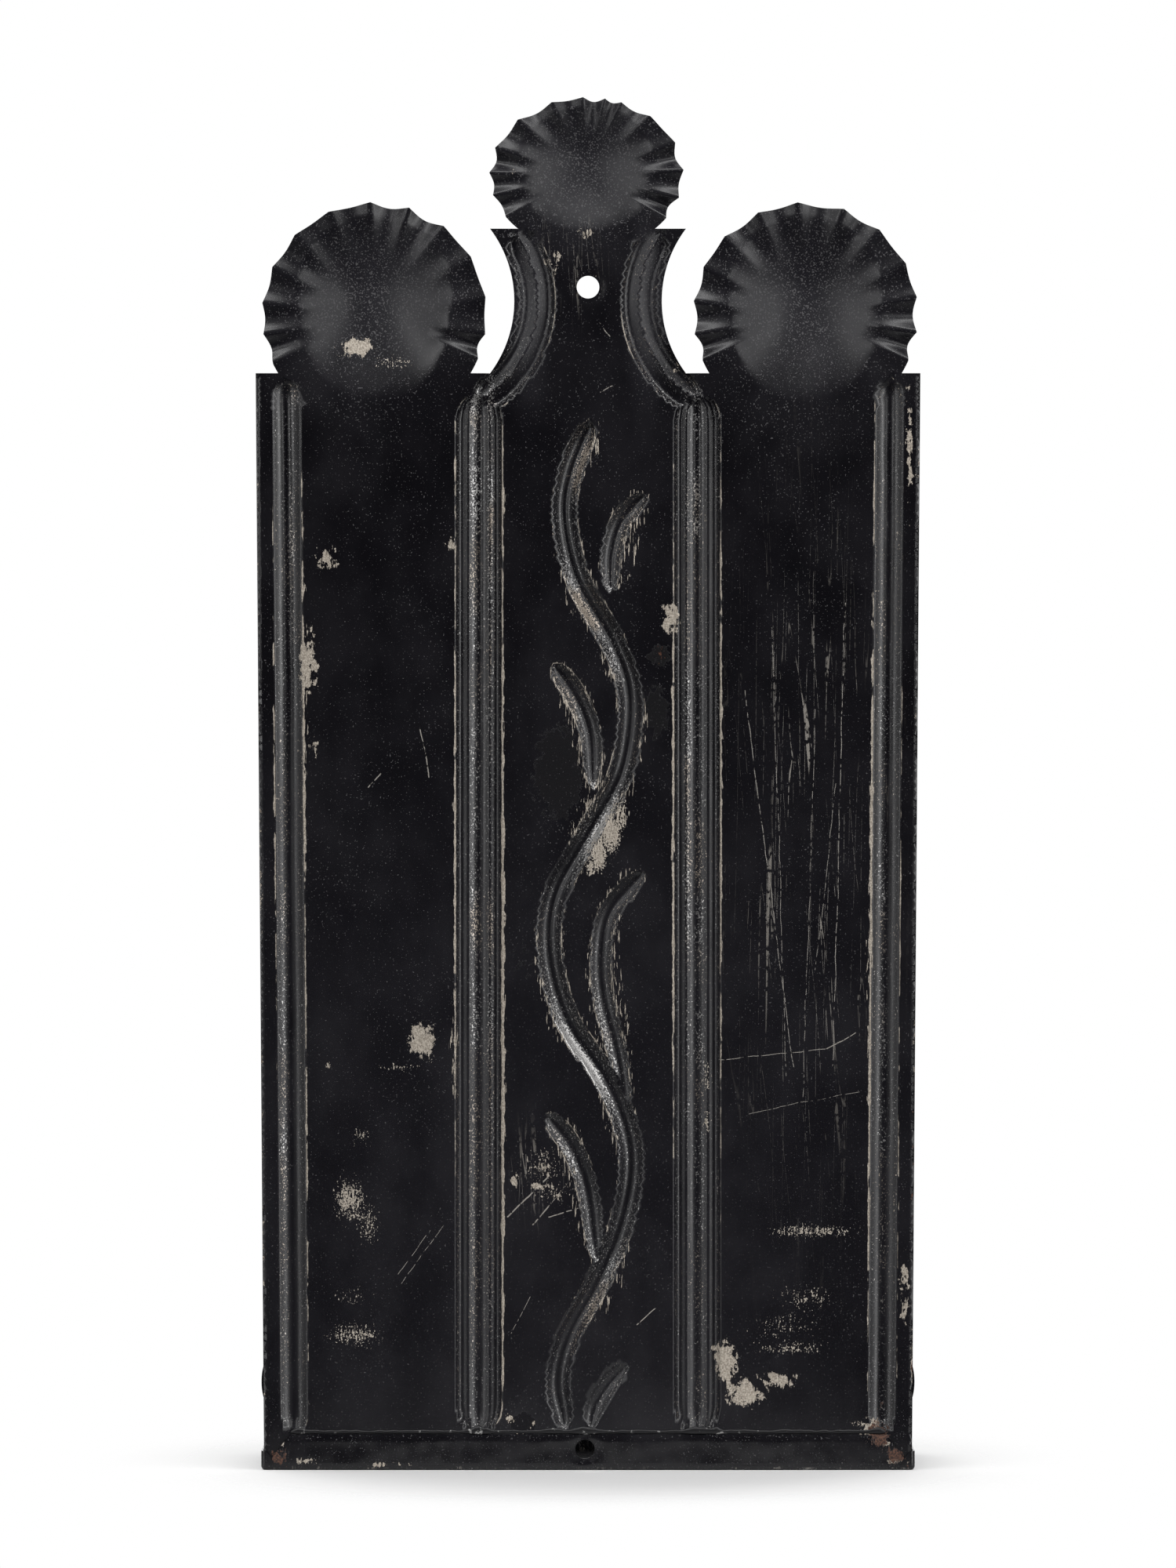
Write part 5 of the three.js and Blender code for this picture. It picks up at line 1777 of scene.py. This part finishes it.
# shares of one or two grains, start, softness and swing with which noise breaks up each mark
breaks = {
    "flake": ({"combed": 0.3, "coarse": 0.7}, 0.6, 0.03, 3.4),
    "scuff": ({"combed": 0.5, "fine": 0.5}, 0.6, 0.06, 3),
    "rub": ({"fine": 0.6, "combed": 0.4}, 0.62, 0.12, 1.5),
    "rusted": ({"combed": 0.3, "coarse": 0.7}, 0.62, 0.12, 3),
    "residue": ({"coarse": 1}, 0.55, 0.1, 1.5),
}


def place_mm(tree):
    """Object coordinates in millimetres."""
    place = add_node(tree, "TexCoord").outputs["Object"]
    return vector_step(tree, "SCALE", place, scale=1 / MM)


def noise(place, name, output="Fac"):
    """One of the grains: noise from 0 to 1 with about one swell to each of its lengths, after
    a turn in the plate's plane."""
    lengths, detail, roughness, distortion, turn = grains[name]
    inputs = {"Vector": place, "Rotation": (0, turn, 0)}
    turned = add_node(place.tree, "Mapping", inputs).outputs["Vector"]
    stretched = vector_step(place.tree, "MULTIPLY", turned, tuple(1 / length for length in lengths))
    inputs = {"Vector": stretched, "Scale": 1.0, "Detail": detail, "Roughness": roughness,
              "Distortion": distortion}
    return Field(place.tree, add_node(place.tree, "TexNoise", inputs).outputs[output])


def mark(tree, name):
    """A mark that the mesh carries at its points, 0 on a mesh without it."""
    node = add_node(tree, "Attribute", attribute_name=name)
    return Field(tree, node.outputs["Fac"])


def blend(mask, first, second):
    """One colour with a second one laid over it by a mask."""
    node = add_node(mask.tree, "Mix", {0: mask, 6: first, 7: second}, data_type="RGBA")
    return node.outputs[2]


def broken(noises, name):
    """Hard-edged mask of a mark that noise breaks up: 1 where the mark plus the noise's swing
    passes the start value, and 0 where there is no mark."""
    mix, start, soften, swing = breaks[name]
    first, *others = (noises[grain] * share for grain, share in mix.items())
    grain = first + others[0] if others else first
    field = mark(grain.tree, name)
    return field.mask(spans["trace"]) * ((grain - 0.5) * swing + field).mask((start, start + soften))


def hairlines(place, name):
    """Thin wandering lines: where a noise that is stretched one way passes its middle value."""
    return abs(noise(place, name) - 0.5).mask(spans[name])


# %% [markdown]
# One hairline scratch
# Single scratches are lines between two places. The distance from a line is worked out in the
# material, so that they stay sharp whatever the mesh. A group of nodes holds the sum once, and
# each scratch is one use of it.

# %% Group for one scratch
scratch_core = 0.35
scratch_wander = 1.2
scratch_sockets = {"Place": "Vector", "Start": "Vector", "End": "Vector", "Width": "Float"}


def scratch_group():
    """Group: mask that is 1 within a width of the line from start to end. With p the place and q
    the end, both from the start, the nearest share is p.q / q.q, kept between 0 and 1, and the
    distance is the length of p less that share of q."""
    group = bpy.data.node_groups.new("one_scratch", "ShaderNodeTree")
    for name, kind in scratch_sockets.items():
        group.interface.new_socket(name, in_out="INPUT", socket_type=f"NodeSocket{kind}")
    group.interface.new_socket("Mask", in_out="OUTPUT", socket_type="NodeSocketFloat")
    given = group.nodes.new("NodeGroupInput").outputs
    flat = vector_step(group, "MULTIPLY", given["Place"], (1, 0, 1))
    p = vector_step(group, "SUBTRACT", flat, given["Start"])
    q = vector_step(group, "SUBTRACT", given["End"], given["Start"])
    along = vector_step(group, "DOT_PRODUCT", p, q, output="Value")
    whole = vector_step(group, "DOT_PRODUCT", q, q, output="Value")
    share = along.step("DIVIDE", along, whole, clamp=True)
    nearest = vector_step(group, "SCALE", q, scale=share)
    distance = vector_step(group, "DISTANCE", p, nearest, output="Value")
    core = Field(group, given["Width"]) * scratch_core
    inputs = {"Value": distance, "From Min": given["Width"], "From Max": core}
    near = add_node(group, "MapRange", inputs)
    result = group.nodes.new("NodeGroupOutput")
    group.links.new(near.outputs["Result"], result.inputs["Mask"])
    return group


one_scratch = scratch_group()
long_scratches = {
    "right_panel_long": ((950, 880), (1012, 1360), 0.1),
    "right_panel_second": ((985, 800), (1003, 1372), 0.08),
    "right_panel_third": ((1040, 905), (1024, 1400), 0.08),
    "right_panel_fourth": ((1078, 770), (1062, 1360), 0.1),
    "right_panel_fifth": ((1066, 1000), (1040, 1240), 0.08),
    "right_panel_cross": ((918, 1352), (1052, 1338), 0.1),
    "right_panel_cross_end": ((1052, 1338), (1098, 1314), 0.16),
    "right_panel_low_cross": ((955, 1420), (1096, 1392), 0.07),
    "left_low_one": ((508, 1625), (548, 1570), 0.08), "left_low_two": ((512, 1636), (566, 1562), 0.08),
    "left_high": ((470, 1005), (486, 985), 0.16), "left_high_two": ((536, 930), (548, 990), 0.16),
    "foot_crack": ((612, 1838), (615, 1864), 0.2), "lower_middle_one": ((648, 1552), (700, 1500), 0.22),
    "lower_middle_two": ((680, 1562), (722, 1512), 0.2),
    "lower_middle_three": ((700, 1552), (742, 1540), 0.18), "neck_hook": ((765, 412), (778, 428), 0.14),
    "neck_low": ((765, 500), (782, 492), 0.14), "middle_slant": ((812, 1690), (835, 1668), 0.16),
    "right_slant": ((652, 1700), (676, 1655), 0.08),
}


def pixel_place(spot):
    """Place on the plate, in millimetres, of a pixel of the photograph."""
    return ((middle_pixel[0] - spot[0]) * pixel, 0, (middle_pixel[1] - spot[1]) * pixel)


def long_scratch_mask(place):
    """All single scratches in one mask. They wander a little, because the place that they
    read is shifted by the colour of a slow noise."""
    tree = place.tree
    shift = vector_step(tree, "SUBTRACT", noise(place, "wander", "Color"), (0.5, 0.5, 0.5))
    shift = vector_step(tree, "SCALE", shift, scale=scratch_wander)
    moved = vector_step(tree, "ADD", place, shift)
    masks = []
    for start, end, width in long_scratches.values():
        ends = {"Start": pixel_place(start), "End": pixel_place(end)}
        inputs = {"Place": moved, **ends, "Width": width}
        node = add_node(tree, "Group", inputs, node_tree=one_scratch)
        masks.append(Field(tree, node.outputs["Mask"]))
    return larger(*masks)


print("single scratches:", len(long_scratches))

# %% Flakes along the grooves
teeth_reach = 1.9
teeth_least = 0.1
line_width = {"least": 0.3, "teeth": 0.25, "even": 0.55}
flake_depth = 0.4
worn_more = 0.17


def edge_flakes(place):
    """Comb-like flakes outside the shoulder of a groove. With e the distance outside it and w the
    wear, paint is missing up to e = w (1.9 t - 0.1), where t is 1 in the teeth of a fine noise.
    Along the ribs a thin line of uneven thickness is missing too. Long gaps break the row."""
    edge, wear, line = (mark(place.tree, name) for name in ("edge", "wear", "line"))
    teeth = noise(place, "teeth").mask(spans["teeth"])
    patch = noise(place, "patches").mask(spans["patches"])
    thick = line * (teeth * line_width["teeth"] + line_width["least"]) * (patch + line_width["even"])
    reach = larger(wear * (teeth * teeth_reach - teeth_least), thick)
    outer = (edge - reach).mask(spans["outside"])
    inner = (reach * flake_depth + edge).mask(spans["inside"])
    kept = larger(wear, line) * worn_more + noise(place, "gaps")
    return outer * inner * kept.mask(spans["kept"]) * reach.mask(spans["reach"])


# %% Scratches
def scratch_lines(place, with_long_ones):
    """Groups of hairlines where the mesh is marked as scratched, with the single long scratches
    if they are asked for. Small gaps break them."""
    lines = larger(hairlines(place, "upright_lines"), hairlines(place, "leaning_lines"))
    present = noise(place, "scratch_groups").mask(spans["groups"])
    lines = lines * present * mark(place.tree, "scratched")
    if with_long_ones:
        lines = larger(lines, long_scratch_mask(place))
    return lines * noise(place, "scratch_breaks").mask(spans["breaks"])


# %% Layers of the japanning
dust_pull = 0.11
dust_haze = 0.35
haze_base = 0.6
haze_swing = 0.2


def japan_layers(place, dustiness, with_long_scratches):
    """Masks of everything that lies on the varnish or is worn through it, of a lighter grey in places, and
    of the painted highlights in the rub, with the fine grain and the clouds that they share."""
    noises = {name: noise(place, name) for name in ("fine", "combed", "coarse", "speck", "clouds")}
    fine, clouds, burnish_and_highlight_mark = noises["fine"], noises["clouds"], mark(place.tree, "burnish_and_highlight")
    worn = {name: broken(noises, name) for name in breaks}
    dusty = (mark(place.tree, "dusty") + dustiness).kept()
    cloudy = clouds.mask(spans["cloudy"])
    # Bright speckle where the burnish mark is: partly wear, partly painted highlight on walls that face up
    bright = (fine + burnish_and_highlight_mark).mask(spans["bright"]) * burnish_and_highlight_mark.mask(spans["burnish_and_highlight"])
    specks = (dusty * dust_pull + noises["speck"]).mask(spans["specks"])
    # The haze is dust together with the lighter grey of its own marks
    lighter_grey = (dusty * dust_haze + mark(place.tree, "lighter_grey")).kept()
    return {
        "fine": fine, "cloudy": cloudy, "burnish_and_highlight": burnish_and_highlight_mark, "specks": specks,
        "brown": clouds.mask(spans["brown"]), "rust": worn["rusted"], "residue": worn["residue"],
        "flakes": larger(worn["flake"], worn["scuff"], edge_flakes(place)),
        "rubbed": larger(worn["rub"], bright),
        "dust": larger(specks, noises["speck"].mask(spans["stray"])),
        "haze": lighter_grey * (cloudy * haze_swing + haze_base),
        "lines": scratch_lines(place, with_long_scratches),
    }


# %% Colour, roughness and height
rub_cover = 0.8
line_cover = 0.85
layer_roughness = {
    "residue": 0.6, "specks": 0.7, "rubbed": 0.33, "lines": 0.5, "flakes": 0.62, "rust": 0.85,
}
haze_dulls = 0.2
clouds_dull = 0.08
heights = {"peel": 0.018, "grain": 0.003, "burnish_and_highlight": 0.12, "sunk": -0.035, "residue": 0.06, "rust": 0.1}


def japan_colour(layers):
    """Black varnish, then residue, haze, dust, rub with its painted highlights, scratches, flakes and
    rust, each laid over what is under it by its mask."""
    rub = blend(layers["brown"], rub_grey, rub_brown)
    tin = blend(layers["fine"].mask(spans["tin"]), tin_dark, tin_light)
    rust = blend(layers["fine"].mask(spans["rust"]), rust_dark, rust_light)
    colour = blend(layers["cloudy"], black, worn_black)
    for mask, layer in (
        (layers["residue"], residue_black), (layers["haze"], haze_grey), (layers["dust"], dust_grey),
        (layers["rubbed"] * rub_cover, rub), (layers["lines"] * line_cover, scratch_tin),
        (layers["flakes"], tin), (layers["rust"], rust),
    ):
        colour = blend(mask, colour, layer)
    return colour


def japan_roughness(layers, gloss):
    """The varnish's own roughness, a little more under haze, and that of each layer on it."""
    rough = layers["haze"] * haze_dulls + (layers["cloudy"] * clouds_dull + gloss)
    for name, value in layer_roughness.items():
        rough = layers[name] * (value - rough) + rough
    return rough


def japan_height(place, layers):
    """Height in millimetres: the varnish's peel and grain, flakes and scratches sunk into it,
    and residue and rust standing on it."""
    fine = layers["fine"]
    height = noise(place, "peel") * heights["peel"]
    height = fine * (layers["burnish_and_highlight"] * heights["burnish_and_highlight"] + heights["grain"]) + height
    height = larger(layers["flakes"], layers["lines"]) * heights["sunk"] + height
    for name in ("residue", "rust"):
        height = layers[name] * fine * heights[name] + height
    return height


# %% The japanned finish
sheen = 0.5
residue_dulls = -0.4
bare_metal = {"rubbed": 0.75, "flakes": 0.25}


def finished(tree, height, **inputs):
    """End of a material's tree: a surface with this height in millimetres, and inputs whose names
    have a low line for each blank."""
    bump = add_node(tree, "Bump", {"Strength": 1.0, "Distance": MM, "Height": height})
    inputs = {name.replace("_", " "): value for name, value in inputs.items()}
    inputs["Normal"] = bump.outputs["Normal"]
    shader = add_node(tree, "BsdfPrincipled", inputs)
    add_node(tree, "OutputMaterial", {"Surface": shader.outputs[0]})


def japanning(name, gloss, dustiness, with_long_scratches):
    """Black varnish over tin, with its layers of dust and wear, and the painted highlights that the
    burnish mark asks for.
    """
    material = bpy.data.materials.new(name)
    tree = cleared_tree(material)
    place = place_mm(tree)
    layers = japan_layers(place, dustiness, with_long_scratches)
    metal = larger(*(layers[name] * share for name, share in bare_metal.items()))
    finished(
        tree, japan_height(place, layers), Base_Color=japan_colour(layers),
        Roughness=japan_roughness(layers, gloss), Metallic=metal * (1.0 - layers["rust"]),
        Specular_IOR_Level=layers["residue"] * residue_dulls + sheen,
    )
    return material


plate_finish = japanning("worn_japanning_with_painted_highlights", 0.22, 0.0, True)
tray_finish = japanning("tray_japanning", 0.22, 0.04, False)
socket_finish = japanning("socket_japanning", 0.24, 0.05, False)
print("three finishes of japanning")

# %% [markdown]
# Solder and wire
# The solder was painted with the tin and has flaked since: dull grey metal shows between skins of
# black. The wire is plain dull iron with a little rust.

# %% Solder and iron
metals = {
    "old_solder": {
        "bright": (0.6, 0.59, 0.57, 1), "dark": (0.2, 0.2, 0.2, 1), "skin_colour": black,
        "skin_span": (0.7, 0.62), "roughness": (0.3, 0.5), "lumps": "solder_lumps",
    },
    "iron_wire": {
        "bright": (0.2, 0.17, 0.15, 1), "dark": (0.08, 0.06, 0.05, 1), "skin_colour": rust_dark,
        "skin_span": (0.49, 0.41), "roughness": (0.45, 0.7), "lumps": "iron_lumps",
    },
}
metal_heights = {"coarse": 0.12, "fine": 0.02}
rub_bares = 0.6
bare_share = 0.85


def metal_finish(name, bright, dark, skin_colour, skin_span, roughness, lumps):
    """Dull metal under a broken skin: the skin is missing where a coarse noise of lumps is
    high, and where the mesh is marked as rubbed."""
    material = bpy.data.materials.new(name)
    tree = cleared_tree(material)
    place = place_mm(tree)
    coarse, fine = noise(place, lumps), noise(place, "metal")
    skin = (mark(tree, "rub") * rub_bares + coarse).mask(skin_span)
    finished(
        tree, coarse * metal_heights["coarse"] + fine * metal_heights["fine"],
        Base_Color=blend(skin, blend(fine, dark, bright), skin_colour),
        Roughness=fine * (roughness[1] - roughness[0]) + roughness[0],
        Metallic=(1.0 - skin) * bare_share,
    )
    return material


solder_finish, wire_finish = (metal_finish(name, **looks) for name, looks in metals.items())
finishes = [(back_plate, plate_finish), (tray_pan, tray_finish), (tray_wall, tray_finish),
            (rim_wire_piece, wire_finish)]
finishes += [(piece, socket_finish) for piece in socket_pieces]
finishes += [(piece, solder_finish) for piece in solder_pieces]
for piece, finish in finishes:
    piece.data.materials.append(finish)
print("finished pieces:", [piece.name for piece, _ in finishes])
